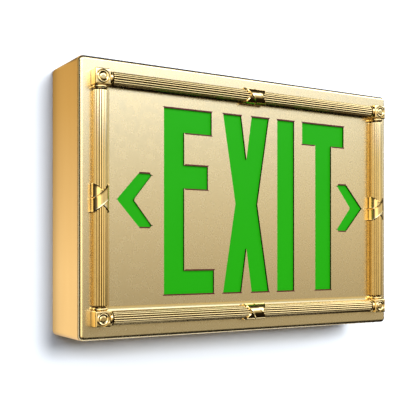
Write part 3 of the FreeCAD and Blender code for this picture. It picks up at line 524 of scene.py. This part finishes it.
@dataclass
class ReededRod:
    """A half-round bundle of reeds with a collar at each end."""

    moulding: Moulding
    side: Side
    reeds: int = 16
    reed_radius: float = 0.97
    arc_steps: int = 6
    dome_steps: int = 4
    core_radius: float = 4.5
    collar_length: float = 2.4
    collar_radius: float = 6.05
    collar_step_radius: float = 5.2
    groove: float = 0.9
    core_steps: int = 32
    turn_steps: int = 40
    # how far a collar reaches into the core, and half the bead's length as a share of the collar's
    collar_bite: float = 0.4
    bead_reach: float = 0.42
    bead_steps: int = 8
    # how fast the patina leaves the valleys, and the painted shade by the plate on level rods: how high it
    # stands beside solder and without, and its fade
    valley_slope: float = 1.35
    solder_side_shade_height: float = 2.4
    bare_side_shade_height: float = 6.2
    shade_fade: float = 2.2
    # section of the solder: distance from the middle of the rod, height above the plate
    cove: tuple[tuple[float, float], ...] = (
        (5.0, 0.55), (5.8, 0.46), (6.3, 0.34), (6.9, 0.22), (7.6, 0.12), (8.4, 0.05), (9.2, 0.015),
        (9.2, 0.0), (5.0, 0.0))

    @property
    def axis(self) -> Vector:
        """A point of the rod's axis."""
        return Vector((0.0, -self.moulding.axis_height, 0.0))

    @property
    def valley_radius(self) -> float:
        """Distance from the axis to the line where two reeds meet.

        Returns:
            The distance, in millimetres.
        """
        centre = self.moulding.rod_radius - self.reed_radius
        half_pitch = math.pi / self.reeds
        half_chord = centre * math.sin(half_pitch)
        return centre * math.cos(half_pitch) + math.sqrt(self.reed_radius ** 2 - half_chord ** 2)

    def outline(self, bm: BMesh) -> list[BMEdge]:
        """Draws the closed outline of the reeds, square to the rod.

        Args:
            bm: Mesh that gets the outline.

        Returns:
            Its edges.
        """
        centre = self.axis + Vector((0.0, self.reed_radius - self.moulding.rod_radius, 0.0))
        turn = Matrix.Rotation(math.pi / self.reeds, 3, "X")
        start = bm.verts.new(self.axis + turn @ Vector((0.0, -self.valley_radius, 0.0)))
        arm = start.co - centre
        half = Vector((0.0, -1.0, 0.0)).angle(arm)
        sign = 1.0 if (Matrix.Rotation(half, 3, "X") @ arm).angle(Vector((0.0, -1.0, 0.0))) < half else -1.0
        bmesh.ops.spin(bm, geom=[start], cent=centre, axis=AXIS_X, angle=sign * 2 * half,
                       steps=self.arc_steps)
        bmesh.ops.spin(bm, geom=bm.verts[:] + bm.edges[:], cent=self.axis, axis=AXIS_X, angle=math.tau,
                       steps=self.reeds, use_duplicate=True)
        bmesh.ops.remove_doubles(bm, verts=bm.verts[:], dist=WELD)
        return bm.edges[:]

    def next_ring(self, bm: BMesh, ring: list[BMEdge], along: float,
                  radial: float | None = None) -> list[BMEdge]:
        """Extrudes a ring along the rod and draws its reeds in towards the valleys.

        Args:
            bm: Mesh of the rod.
            ring: Edges of the last ring.
            along: How far the new ring lies from the last one.
            radial: Share of the reeds' height that is kept, or None to keep the ring as it is.

        Returns:
            Edges of the new ring.
        """
        made = bmesh.ops.extrude_edge_only(bm, edges=ring)
        for vert in new_verts(made):
            vert.co.x += along
            if radial is not None:
                arm = Vector((0.0, vert.co.y, vert.co.z)) - self.axis
                kept = self.valley_radius + (arm.length - self.valley_radius) * radial
                vert.co = self.axis + arm.normalized() * kept + AXIS_X * vert.co.x
        return [item for item in made["geom"] if isinstance(item, BMEdge)]

    def reeded_half(self, bm: BMesh, ring: list[BMEdge], sign: float) -> None:
        """Runs the reeds from the middle to one end and closes them with domes.

        Args:
            bm: Mesh of the rod.
            ring: Edges of the outline at the middle.
            sign: 1 or -1, the end.
        """
        end = self.moulding.rod_length(self.side) / 2 - self.collar_length - self.groove
        straight = end - self.reed_radius
        ring = self.next_ring(bm, ring, sign * straight)
        done = 0.0
        height = 1.0
        for step in range(1, self.dome_steps + 1):
            angle = step / self.dome_steps * math.pi / 2
            reach = self.reed_radius * math.sin(angle)
            wanted = math.cos(angle)
            ring = self.next_ring(bm, ring, sign * (reach - done), wanted / height)
            done = reach
            height = max(wanted, TINY)
        bmesh.ops.edgeloop_fill(bm, edges=ring)

    def solder_cove(self, bm: BMesh) -> None:
        """Lays the hollow run of solder between the rod and the plate, on the soldered side.

        Args:
            bm: Mesh of the rod.
        """
        half = self.moulding.rod_length(self.side) / 2
        corners = [bm.verts.new((-half, -height, self.side.soldered * away)) for away, height in self.cove]
        section = bm.faces.new(corners)
        far = new_verts(bmesh.ops.extrude_face_region(bm, geom=[section]))
        bmesh.ops.translate(bm, vec=(2 * half, 0.0, 0.0), verts=far)

    def collar_outline(self, sign: float) -> list[tuple[float, float]]:
        """Draws the half section of a collar, a rounded bead between two steps.

        Args:
            sign: 1 or -1, the end of the rod.

        Returns:
            Places as (distance along the axis, radius).
        """
        end = self.moulding.rod_length(self.side) / 2
        inner = self.core_radius - self.collar_bite
        points = [(end, inner), (end, self.collar_step_radius)]
        for step in range(self.bead_steps + 1):
            angle = step / self.bead_steps * math.pi
            along = self.collar_length * (0.5 - self.bead_reach * math.cos(angle))
            bulge = (self.collar_radius - self.collar_step_radius) * math.sin(angle)
            points.append((end - along, self.collar_step_radius + bulge))
        points += [(end - self.collar_length, self.collar_step_radius), (end - self.collar_length, inner)]
        return [(sign * along, radius) for along, radius in points]

    def patina_and_shade(self, spot: Vector) -> float:
        """Says how dark the reeds are painted: patina in the valleys, and painted shade low down by the plate
        on level rods.

        Args:
            spot: A place on the reeds.

        Returns:
            0 on bright brass to 1 fully darkened.
        """
        arm = (Vector((0.0, spot.y, spot.z)) - self.axis).length
        share = (arm - self.valley_radius) / (self.moulding.rod_radius - self.valley_radius)
        valley = min(max(1.0 - self.valley_slope * share, 0.0), 1.0)
        # painted shade low down by the plate on the level rods, higher on the side without solder
        top = self.solder_side_shade_height
        if self.side in (Side.LEFT, Side.RIGHT):
            top = 0.0
        elif spot.z * self.side.soldered <= 0.0:
            top = self.bare_side_shade_height
        return max(valley, min(max((top + spot.y) / self.shade_fade, 0.0), 1.0))

    def build(self) -> Object:
        """Makes the rod.

        Returns:
            The finished piece.
        """
        bm = cast_mesh()
        ring = self.outline(bm)
        self.reeded_half(bm, ring, 1.0)
        self.reeded_half(bm, ring, -1.0)
        darkening = {vert: self.patina_and_shade(vert.co) for vert in bm.verts}
        half = self.moulding.rod_length(self.side) / 2
        core = [(-half, self.core_radius), (half, self.core_radius)]
        # the core shows only in the grooves by the collars: darkened fully, as patina and painted shade
        for vert in lathe(bm, core, self.axis, AXIS_X, -AXIS_Y, self.core_steps):
            darkening[vert] = 1.0
        for sign in (-1.0, 1.0):
            lathe(bm, self.collar_outline(sign), self.axis, AXIS_X, -AXIS_Y, self.turn_steps)
        if self.side.soldered:
            self.solder_cove(bm)
        close_cuts(bm)
        mark_hollows(bm, darkening)
        cut_across(bm, 0.0, clear=True)
        close_cuts(bm)
        return mesh_object(f"rod_{self.side.value}", bm, self.moulding.rod_place(self.side))


@dataclass
class RibbonTie:
    """Two broad ribbons that cross on the front of a rod, one over the other."""

    moulding: Moulding
    side: Side
    waist: float = 11.3
    slope: float = 1.02
    reach: float = math.radians(122.0)
    along_steps: int = 60
    across_steps: int = 16
    lower_proud: float = 0.45
    upper_proud: float = 1.15
    side_proud: float = 1.2
    # raised rim and rolled edge: height, and place and width as shares of half the ribbon's width
    rim: float = 0.15
    rim_place: float = 0.86
    rim_width: float = 0.1
    roll: float = 0.5
    roll_from: float = 0.9
    roll_width: float = 0.1
    thickness: float = 0.9

    def ribbon(self, bm: BMesh, lean: float, proud: float) -> None:
        """Wraps one ribbon round the rod.

        Args:
            bm: Mesh that gets the ribbon.
            lean: 1 or -1, the way that the ribbon slants.
            proud: Height over the reeds at the crossing.
        """
        grid = bmesh.ops.create_grid(bm, x_segments=self.along_steps, y_segments=self.across_steps, size=1.0)
        radius = self.moulding.rod_radius
        axis = Vector((0.0, -self.moulding.axis_height, 0.0))
        for vert in grid["verts"]:
            angle = vert.co.x * self.reach
            side = vert.co.y
            lift = proud + (self.side_proud - proud) * math.sin(angle) ** 2
            bead = math.exp(-((abs(side) - self.rim_place) / self.rim_width) ** 2)
            outer = max((abs(side) - self.roll_from) / self.roll_width, 0.0)
            height = lift + self.rim * bead - self.roll * (1 - math.sqrt(max(1 - outer * outer, 0.0)))
            place = self.slope * lean * radius * math.sin(angle) + side * self.waist / 2
            reach = radius + height
            vert.co = axis + Vector((place, -reach * math.cos(angle), reach * math.sin(angle)))
        faces = {face for vert in grid["verts"] for face in vert.link_faces}
        for vert in new_verts(bmesh.ops.extrude_face_region(bm, geom=list(faces))):
            arm = vert.co - axis
            arm.x = 0.0
            vert.co -= arm.normalized() * self.thickness

    def build(self) -> Object:
        """Makes the tie.

        Returns:
            The finished piece.
        """
        bm = cast_mesh()
        self.ribbon(bm, 1.0, self.lower_proud)
        self.ribbon(bm, -1.0, self.upper_proud)
        cut_across(bm, 0.0, clear=True)
        close_cuts(bm)
        return mesh_object(f"ribbon_tie_{self.side.value}", bm, self.moulding.rod_place(self.side))


@dataclass
class RosetteBlock:
    """Square corner block with a turned rosette on its front."""

    moulding: Moulding
    side_x: float
    side_z: float
    name: str
    edge_radius: float = 0.8
    edge_steps: int = 3
    front_facing: float = 0.99
    turn_steps: int = 48
    # half section of the boss, the ring and the grooves: rise above the front, radius
    turned: tuple[tuple[float, float], ...] = (
        (-0.1, 0.0), (-0.1, 1.2), (-0.1, 2.1), (-0.17, 2.35), (-0.42, 2.62), (-0.52, 2.88), (-0.43, 3.14),
        (-0.15, 3.5), (0.03, 3.85), (0.1, 4.15), (0.0, 4.45), (-0.25, 4.7), (-0.45, 4.95), (-0.5, 5.1),
        (-0.42, 5.25), (-0.12, 5.42), (0.0, 5.55))
    # darkening: patina and painted shade in the grooves, painted shade on the flanks of the lower blocks, and
    # a painted shadow along the foot of every block
    groove_reach: float = 5.5
    groove_from: float = 0.15
    groove_fade: float = 0.6
    groove_patina_shade: float = 0.55
    flank_share: float = 0.6
    flank_shade: float = 0.45
    foot_shade: float = 0.3
    foot_line: float = 0.28
    foot_fade: float = 1.1

    def rosette(self, bm: BMesh) -> list[BMVert]:
        """Turns the boss, the raised ring and the grooves between them."""
        outline = [(self.moulding.block_height + rise, radius) for rise, radius in self.turned]
        return lathe(bm, outline, Vector(), -AXIS_Y, AXIS_X, self.turn_steps)

    def patina_and_shade(self, spot: Vector) -> float:
        """Says how dark a place of the block is painted, by patina and by painted shade.

        Args:
            spot: A place on the block.

        Returns:
            0 on bright brass to 1 fully darkened.
        """
        tall = self.moulding.block_height
        # patina and painted shade in the rosette's grooves
        if math.hypot(spot.x, spot.z) < self.groove_reach:
            return min(max((-spot.y - tall + self.groove_from) / -self.groove_fade, 0.0), self.groove_patina_shade)
        # a painted shadow along the foot of the block, and painted shade on the flanks of the lower blocks
        if -spot.y < self.foot_shade:
            return 1.0
        return self.flank_shade if -spot.y < self.flank_share * tall and self.side_z < 0 else 0.0

    def build(self) -> Object:
        """Makes the block.

        Returns:
            The finished piece.
        """
        bm = cast_mesh()
        size = self.moulding.block
        tall = self.moulding.block_height
        made = bmesh.ops.create_cube(bm, size=1.0)
        bmesh.ops.scale(bm, vec=(size, tall, size), verts=made["verts"])
        bmesh.ops.translate(bm, vec=(0.0, -tall / 2, 0.0), verts=made["verts"])
        edges = [e for e in bm.edges if not all(abs(v.co.y) < TINY for v in e.verts)]
        bmesh.ops.bevel(bm, geom=edges, offset=self.edge_radius, offset_type="OFFSET",
                        segments=self.edge_steps, profile=0.5, affect="EDGES", material=-1)
        # edge loops low on the flanks, over which the painted shadow along the foot fades
        for height in (self.foot_line, self.foot_fade):
            cut_across(bm, height)
        bm.normal_update()
        front = max((f for f in bm.faces if f.normal.y < -self.front_facing), key=lambda f: f.calc_area())
        square = list(front.edges)
        bmesh.ops.delete(bm, geom=[front], context="FACES_ONLY")
        bmesh.ops.subdivide_edges(bm, edges=square, cuts=self.turn_steps // 4 - 1)
        outer = [e for e in bm.edges if e.is_boundary]
        bmesh.ops.remove_doubles(bm, verts=self.rosette(bm), dist=WELD)
        inner = [e for e in bm.edges if e.is_boundary and e not in outer]
        bmesh.ops.bridge_loops(bm, edges=outer + inner)
        mark_hollows(bm, {vert: self.patina_and_shade(vert.co) for vert in bm.verts})
        corner = (self.side_x * self.moulding.half_x, FACE_Y, self.side_z * self.moulding.half_z)
        return mesh_object(f"rosette_block_{self.name}", bm, Matrix.Translation(corner))


@dataclass
class MouldingFrame:
    """The whole reed-and-ribbon frame, which moves with the cover."""

    moulding: Moulding
    body: str = "cover"
    slot: str = "brass_moulding"

    def dress(self, piece: Object, material: Material, *nodes: str) -> None:
        """Gives a piece its material, its body and the solids that it stands for.

        Args:
            piece: The piece.
            material: Its material.
            *nodes: Solids of the part that it replaces.
        """
        piece.data.materials.append(material)
        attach(piece, self.body)
        if nodes:
            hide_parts(*nodes)
        LOG.info("%s: %d faces", piece.name, len(piece.data.polygons))

    def build(self, material: Material) -> None:
        """Makes every rod, tie and block.

        Args:
            material: Material of all of them.
        """
        for side in Side:
            self.dress(ReededRod(self.moulding, side).build(), material, f"reeded_rod_{side.value}")
            self.dress(RibbonTie(self.moulding, side).build(), material)
        for up, side_z in (("top", 1.0), ("bottom", -1.0)):
            for out, side_x in (("left", -1.0), ("right", 1.0)):
                name = f"{up}_{out}"
                self.dress(RosetteBlock(self.moulding, side_x, side_z, name).build(), material,
                           f"corner_block_{name}")


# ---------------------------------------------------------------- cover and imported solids
@dataclass
class LegendEdge:
    """Dark red line along the level edges of each opening, on the front, partly painted shade along the top
    edges.
    """

    width: float = 1.15
    thickness: float = 0.05
    # how squarely the sheet's front faces forward, how little a cut wall does, and the steepest level edge
    front_facing: float = 0.9
    wall_facing: float = 0.5
    level_slope: float = 0.2

    def is_rim(self, edge: BMEdge) -> bool:
        """Says whether an edge joins the front of the sheet and a cut wall.

        Args:
            edge: An edge of the cover.

        Returns:
            Whether it does.
        """
        if len(edge.link_faces) != 2:
            return False
        middle = (edge.verts[0].co + edge.verts[1].co) / 2
        turns = sorted(face.normal.y for face in edge.link_faces)
        inside = abs(middle.x) < LEGEND_HALF_W * MM and abs(middle.z) < LEGEND_HALF_H * MM
        return inside and turns[0] < -self.front_facing and abs(turns[1]) < self.wall_facing

    def is_steep(self, face: BMFace) -> bool:
        """Says whether a part of the line does not run level.

        Args:
            face: A face of the line.

        Returns:
            Whether it slopes or stands upright.
        """
        longest = max(face.edges, key=lambda edge: edge.calc_length())
        along = longest.verts[1].co - longest.verts[0].co
        return abs(along.z) > self.level_slope * abs(along.x)

    def build(self, cover: Object) -> None:
        """Makes the line from the openings of the cover.

        Args:
            cover: The stencil sheet, which is only read.
        """
        bm = bmesh.new()
        bm.from_mesh(cover.data)
        bmesh.ops.remove_doubles(bm, verts=bm.verts[:], dist=TINY)
        bm.normal_update()
        others = [edge for edge in bm.edges if not self.is_rim(edge)]
        bmesh.ops.delete(bm, geom=others, context="EDGES_FACES")
        bmesh.ops.delete(bm, geom=[vert for vert in bm.verts if not vert.link_edges], context="VERTS")
        bmesh.ops.edgeloop_fill(bm, edges=bm.edges[:])
        bm.normal_update()
        plates = bm.faces[:]
        bmesh.ops.inset_individual(bm, faces=plates, thickness=-self.width * MM, use_even_offset=True)
        bmesh.ops.delete(bm, geom=plates, context="FACES_ONLY")
        bmesh.ops.delete(bm, geom=[face for face in bm.faces if self.is_steep(face)], context="FACES")
        bmesh.ops.recalc_face_normals(bm, faces=bm.faces[:])
        moved = new_verts(bmesh.ops.extrude_face_region(bm, geom=bm.faces[:]))
        bmesh.ops.translate(bm, vec=(0.0, -self.thickness * MM, 0.0), verts=moved)
        bmesh.ops.transform(bm, matrix=Matrix.Scale(1 / MM, 4), verts=bm.verts[:])
        line = mesh_object("legend_edge_line", bm, Matrix())
        line.data.materials.append(EDGE_LINE_PAINT.build())
        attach(line, "cover")
        LOG.info("%s: %d faces", line.name, len(line.data.polygons))


@dataclass
class PackedSolids:
    """The CAD solids that stay in view, with the finish of their slot."""

    nodes: Mapping[str, Object]
    record: Mapping[str, object]

    def dress(self, materials: Mapping[str, Material]) -> None:
        """Puts each slot's material on its solids.

        Args:
            materials: Material of each slot of the record.
        """
        for part in self.record["subparts"]:
            solid = self.nodes[part["node"]]
            solid.data.materials.clear()
            solid.data.materials.append(materials[part["material_slot"]])
            LOG.info("%s: %s", part["node"], part["material_slot"])


# ---------------------------------------------------------------- studio
@dataclass
class Studio:
    """Wall, floor, soft lights and surroundings, none of them part of the sign."""

    wall_half: tuple[float, float] = (0.62, 0.5)
    hole_half: tuple[float, float] = (0.15825, 0.1085)
    case_half: tuple[float, float] = (0.16025, 0.1105)
    wall_y: float = 0.0006
    floor_z: float = -1.0
    floor_half: float = 0.35
    floor_depth: float = 0.12
    wall_tone: str = "#EDEDED"
    camera_gain: float = 1.14
    camera_cool: tuple[float, float, float] = (0.95, 1.0, 1.05)
    lens_mm: float = 67.04
    sensor_mm: float = 36.0
    shift_up: float = 0.106
    camera_place: tuple[float, float, float] = (-0.3881, -0.6154, -0.0417)
    camera_turn: float = math.radians(-31.69)
    softboxes: tuple[tuple[str, tuple[float, float, float], float, float], ...] = (
        ("softbox_near", (0.1, -1.95, 0.42), 0.5, 24.0),
        ("softbox_wide", (0.32, -1.95, 0.62), 1.3, 22.0))
    # the wall in polished metal, a painted glow: how fast it dims above and below the case, its light, its
    # tones by the distance from the case, darker right at the case as a painted shadow, and by height
    dim_above: float = 3.0
    dim_below: float = 0.25
    wall_glow: float = 1.3
    tones_beyond: Stops = (
        (0.0, "#B0B0B0"), (0.008, "#F4F4F4"), (0.035, "#FFFFFF"), (0.07, "#8C8C8C"), (0.12, "#3A3026"))
    tones_upward: Stops = (
        (-0.11, "#FFFFFF"), (-0.06, "#FFFEFB"), (0.02, "#E6DFCE"), (0.08, "#D6C8A4"), (0.13, "#CCBB90"))
    # the room: its tones from the floor to the ceiling and from left to right, and a pale window on the left
    room_upward: Stops = (
        (-1, "#070504"), (-0.42, "#0C0905"), (-0.28, "#1F1B13"), (-0.17, "#403F34"), (-0.1, "#585248"),
        (0, "#665F54"), (0.07, "#777269"), (0.12, "#73736D"), (0.19, "#696C70"), (0.25, "#8892B0"),
        (0.34, "#E4ECFF"), (0.52, "#EDF1FC"), (0.62, "#74767A"), (0.74, "#24201B"), (1, "#171410"))
    room_across: Stops = (
        (-1.0, "#787878"), (-0.93, "#787878"), (-0.8, "#C8C8C8"), (-0.3, "#E4E4E4"), (0.1, "#DCDCDC"),
        (0.38, "#C0C0C0"), (0.6, "#C8C8C8"), (0.7, "#CACACA"), (0.82, "#CCCCCC"), (1.0, "#CCCCCC"))
    window_across: Stops = ((-0.9, "#000000"), (-0.78, "#FFFFFF"), (-0.3, "#FFFFFF"), (-0.02, "#000000"))
    window_upward: Stops = ((-0.5, "#000000"), (-0.25, "#7F7561"), (0.3, "#8D8678"), (0.5, "#000000"))
    # its light in front of the sign and behind it, where one fades into the other, and what matt paint gets
    room_light: float = 8.0
    light_behind: float = 3.0
    fade_from: float = -0.4
    fade_to: float = -0.02
    ambient: float = 0.05
    first_scatter: float = 0.5

    def ramp(self, tree: NodeTree, value: NodeSocket, stops: Stops) -> NodeSocket:
        """Turns a value into a colour by its stops.

        Args:
            tree: Node tree that gets the nodes.
            value: Socket of the value.
            stops: Pairs of a value and its colour, in rising order.

        Returns:
            Socket of the colour.
        """
        low, high = stops[0][0], stops[-1][0]
        share = add_node(tree, "ShaderNodeMapRange", {"Value": value, "From Min": low, "From Max": high})
        node = add_node(tree, "ShaderNodeValToRGB", {0: share.outputs[0]})
        elements = node.color_ramp.elements
        for index, (at, code) in enumerate(stops):
            place = (at - low) / (high - low)
            element = elements[index] if index < 2 else elements.new(place)
            element.position = place
            element.color = linear(code)
        return node.outputs["Color"]

    def painted_wall_glow(self, tree: NodeTree) -> NodeSocket:
        """Mixes the painted glow that polished metal sees of the wall: pale round the sign, with a painted
        shadow right at the case, dim further off.

        Args:
            tree: Node tree of the wall's paint.

        Returns:
            Socket of the emission shader.
        """
        place = add_node(tree, "ShaderNodeTexCoord")
        split = add_node(tree, "ShaderNodeSeparateXYZ", {0: place.outputs["Object"]})
        beyond = None
        half_w, half_h = self.case_half
        for axis, slope, half in (("X", 1.0, half_w), ("X", -1.0, half_w), ("Z", self.dim_above, half_h),
                                  ("Z", -self.dim_below, half_h)):
            over = add_node(tree, "ShaderNodeMath", {
                0: split.outputs[axis], 1: slope, 2: -abs(slope) * half}, operation="MULTIPLY_ADD")
            beyond = over.outputs[0] if beyond is None else add_node(
                tree, "ShaderNodeMath", {0: beyond, 1: over.outputs[0]}, operation="MAXIMUM").outputs[0]
        colour = add_node(tree, "ShaderNodeMix", {
            0: 1.0, MIX_LOW: self.ramp(tree, beyond, self.tones_beyond),
            MIX_HIGH: self.ramp(tree, split.outputs["Z"], self.tones_upward)},
            data_type="RGBA", blend_type="MULTIPLY")
        return add_node(tree, "ShaderNodeEmission", {
            "Color": colour.outputs[MIX_OUT], "Strength": self.wall_glow}).outputs[0]

    def paint(self, name: str, is_wall: bool) -> Material:
        """Mixes matt emulsion that the camera sees as white where light falls on it.

        Args:
            name: Name of the material.
            is_wall: Whether it is the wall, which is clear from behind and shows polished metal a painted
                glow.

        Returns:
            The material.
        """
        material = bpy.data.materials.new(name)
        material.use_nodes = True
        tree = material.node_tree
        tree.nodes.clear()
        path = add_node(tree, "ShaderNodeLightPath")
        plain = linear(self.wall_tone)
        bright = tuple(v * self.camera_gain * cool for v, cool in zip(plain, self.camera_cool)) + (1.0,)
        tone = add_node(tree, "ShaderNodeMix", {
            0: path.outputs["Is Camera Ray"], MIX_LOW: plain, MIX_HIGH: bright}, data_type="RGBA")
        surface = add_node(tree, "ShaderNodeBsdfDiffuse", {"Color": tone.outputs[MIX_OUT]}).outputs[0]
        if is_wall:
            # for glossy rays the wall is a painted glow with a painted shadow by the case, not lit paint
            mirrored = add_node(tree, "ShaderNodeMath", {
                0: path.outputs["Is Glossy Ray"], 1: path.outputs["Is Transmission Ray"]},
                operation="MAXIMUM")
            surface = add_node(tree, "ShaderNodeMixShader", {
                0: mirrored.outputs[0], 1: surface, 2: self.painted_wall_glow(tree)}).outputs[0]
            facing = add_node(tree, "ShaderNodeNewGeometry")
            clear = add_node(tree, "ShaderNodeBsdfTransparent")
            surface = add_node(tree, "ShaderNodeMixShader", {
                0: facing.outputs["Backfacing"], 1: surface, 2: clear.outputs[0]}).outputs[0]
        add_node(tree, "ShaderNodeOutputMaterial", {"Surface": surface})
        return material

    def wall(self) -> None:
        """Makes the wall round the sign, open behind it."""
        bm = bmesh.new()
        hole = bmesh.ops.create_grid(bm, x_segments=1, y_segments=1, size=1.0)["verts"]
        bmesh.ops.scale(bm, vec=(self.hole_half[0], self.hole_half[1], 1.0), verts=hole)
        bmesh.ops.delete(bm, geom=bm.faces[:], context="FACES_ONLY")
        for vert in new_verts(bmesh.ops.extrude_edge_only(bm, edges=bm.edges[:])):
            vert.co.x = math.copysign(self.wall_half[0], vert.co.x)
            vert.co.y = math.copysign(self.wall_half[1], vert.co.y)
        upright = Matrix.Translation((0.0, self.wall_y, 0.0)) @ Matrix.Rotation(math.radians(90.0), 4, "X")
        bmesh.ops.transform(bm, matrix=upright, verts=bm.verts[:])
        for face in bm.faces:
            face.normal_update()
            if face.normal.y > 0:
                face.normal_flip()
        self.link("studio_wall", bm, self.paint("matt_white_wall_with_painted_glow", True))

    def floor(self) -> None:
        """Makes the pale floor below the sign."""
        bm = bmesh.new()
        verts = bmesh.ops.create_grid(bm, x_segments=1, y_segments=1, size=1.0)["verts"]
        bmesh.ops.scale(bm, vec=(self.floor_half, self.floor_depth, 1.0), verts=verts)
        bmesh.ops.translate(bm, vec=(0.0, self.wall_y - self.floor_depth, self.floor_z), verts=verts)
        self.link("studio_floor", bm, self.paint("matt_pale_floor_paint", False))

    def link(self, name: str, bm: BMesh, material: Material) -> None:
        """Args:
            name: Name of the piece.
            bm: Its mesh in metres, which is used up.
            material: Its material.
        """
        mesh = bpy.data.meshes.new(name)
        bm.to_mesh(mesh)
        bm.free()
        mesh.materials.append(material)
        stage = add_object(name, mesh)

    def softbox(self, name: str, place: Vector, size: float, watts: float) -> None:
        """Adds one soft square light that is turned to the sign.

        Args:
            name: Name of the light.
            place: Where it hangs.
            size: Length of its side.
            watts: Its power.
        """
        data = bpy.data.lights.new(name, "AREA")
        data.shape = "SQUARE"
        data.size = size
        data.energy = watts
        lamp = add_object(name, data)
        lamp.location = place
        lamp.rotation_euler = (-place).to_track_quat("-Z", "Y").to_euler()
        lamp.visible_glossy = False

    def surroundings(self) -> None:
        """Lights the sign from a room: a pale band round it, dim overhead and below."""
        world = bpy.data.worlds.new("studio_room")
        bpy.context.scene.world = world
        world.use_nodes = True
        tree = world.node_tree
        tree.nodes.clear()
        way = add_node(tree, "ShaderNodeTexCoord")
        split = add_node(tree, "ShaderNodeSeparateXYZ", {0: way.outputs["Generated"]})
        seen = add_node(tree, "ShaderNodeMix", {
            0: 1.0, MIX_LOW: self.ramp(tree, split.outputs["Z"], self.room_upward),
            MIX_HIGH: self.ramp(tree, split.outputs["X"], self.room_across)},
            data_type="RGBA", blend_type="MULTIPLY")
        window = add_node(tree, "ShaderNodeMix", {
            0: 1.0, MIX_LOW: self.ramp(tree, split.outputs["X"], self.window_across),
            MIX_HIGH: self.ramp(tree, split.outputs["Z"], self.window_upward)},
            data_type="RGBA", blend_type="MULTIPLY")
        seen = add_node(tree, "ShaderNodeMix", {
            0: 1.0, MIX_LOW: seen.outputs[MIX_OUT], MIX_HIGH: window.outputs[MIX_OUT]},
            data_type="RGBA", blend_type="LIGHTEN")
        strength = add_node(tree, "ShaderNodeMapRange", {
            "Value": split.outputs["Y"], "From Min": self.fade_from, "From Max": self.fade_to,
            "To Min": self.room_light, "To Max": self.light_behind}, interpolation_type="SMOOTHSTEP")
        room = add_node(tree, "ShaderNodeBackground", {
            "Color": seen.outputs[MIX_OUT], "Strength": strength.outputs[0]}).outputs[0]
        path = add_node(tree, "ShaderNodeLightPath")
        scattered = add_node(tree, "ShaderNodeMath", {
            0: path.outputs["Diffuse Depth"], 1: self.first_scatter}, operation="GREATER_THAN")
        for share, level in ((scattered.outputs[0], self.ambient), (path.outputs["Is Camera Ray"], 1.0)):
            even = add_node(tree, "ShaderNodeBackground", {"Color": linear("#FFFFFF"), "Strength": level})
            room = add_node(tree, "ShaderNodeMixShader", {
                0: share, 1: room, 2: even.outputs[0]}).outputs[0]
        add_node(tree, "ShaderNodeOutputWorld", {"Surface": room})

    def camera(self) -> None:
        """Sets the level camera, to the left of the sign and turned right."""
        data = bpy.data.cameras.new("camera")
        data.lens = self.lens_mm
        data.sensor_width = self.sensor_mm
        data.shift_y = self.shift_up
        camera = add_object("camera", data)
        camera.location = self.camera_place
        camera.rotation_euler = (math.radians(90.0), 0.0, self.camera_turn)
        bpy.context.scene.camera = camera

    def build(self) -> None:
        """Sets up the whole studio."""
        self.camera()
        self.wall()
        self.floor()
        for name, place, size, watts in self.softboxes:
            self.softbox(name, Vector(place), size, watts)
        self.surroundings()
        bpy.context.scene.view_settings.view_transform = "Standard"


def main() -> None:
    """Builds the studio, the finishes and every piece in order."""
    logging.basicConfig(level=logging.INFO, format="%(name)s %(message)s")
    Studio().build()
    materials = {slot: finish.build() for slot, finish in FINISHES.items()}
    PackedSolids(frame["nodes"], frame["record"]).dress(materials)
    MouldingFrame(Moulding()).build(materials["brass_moulding"])
    LegendEdge().build(frame["nodes"]["front_cover"])


if __name__ == "__main__":
    main()
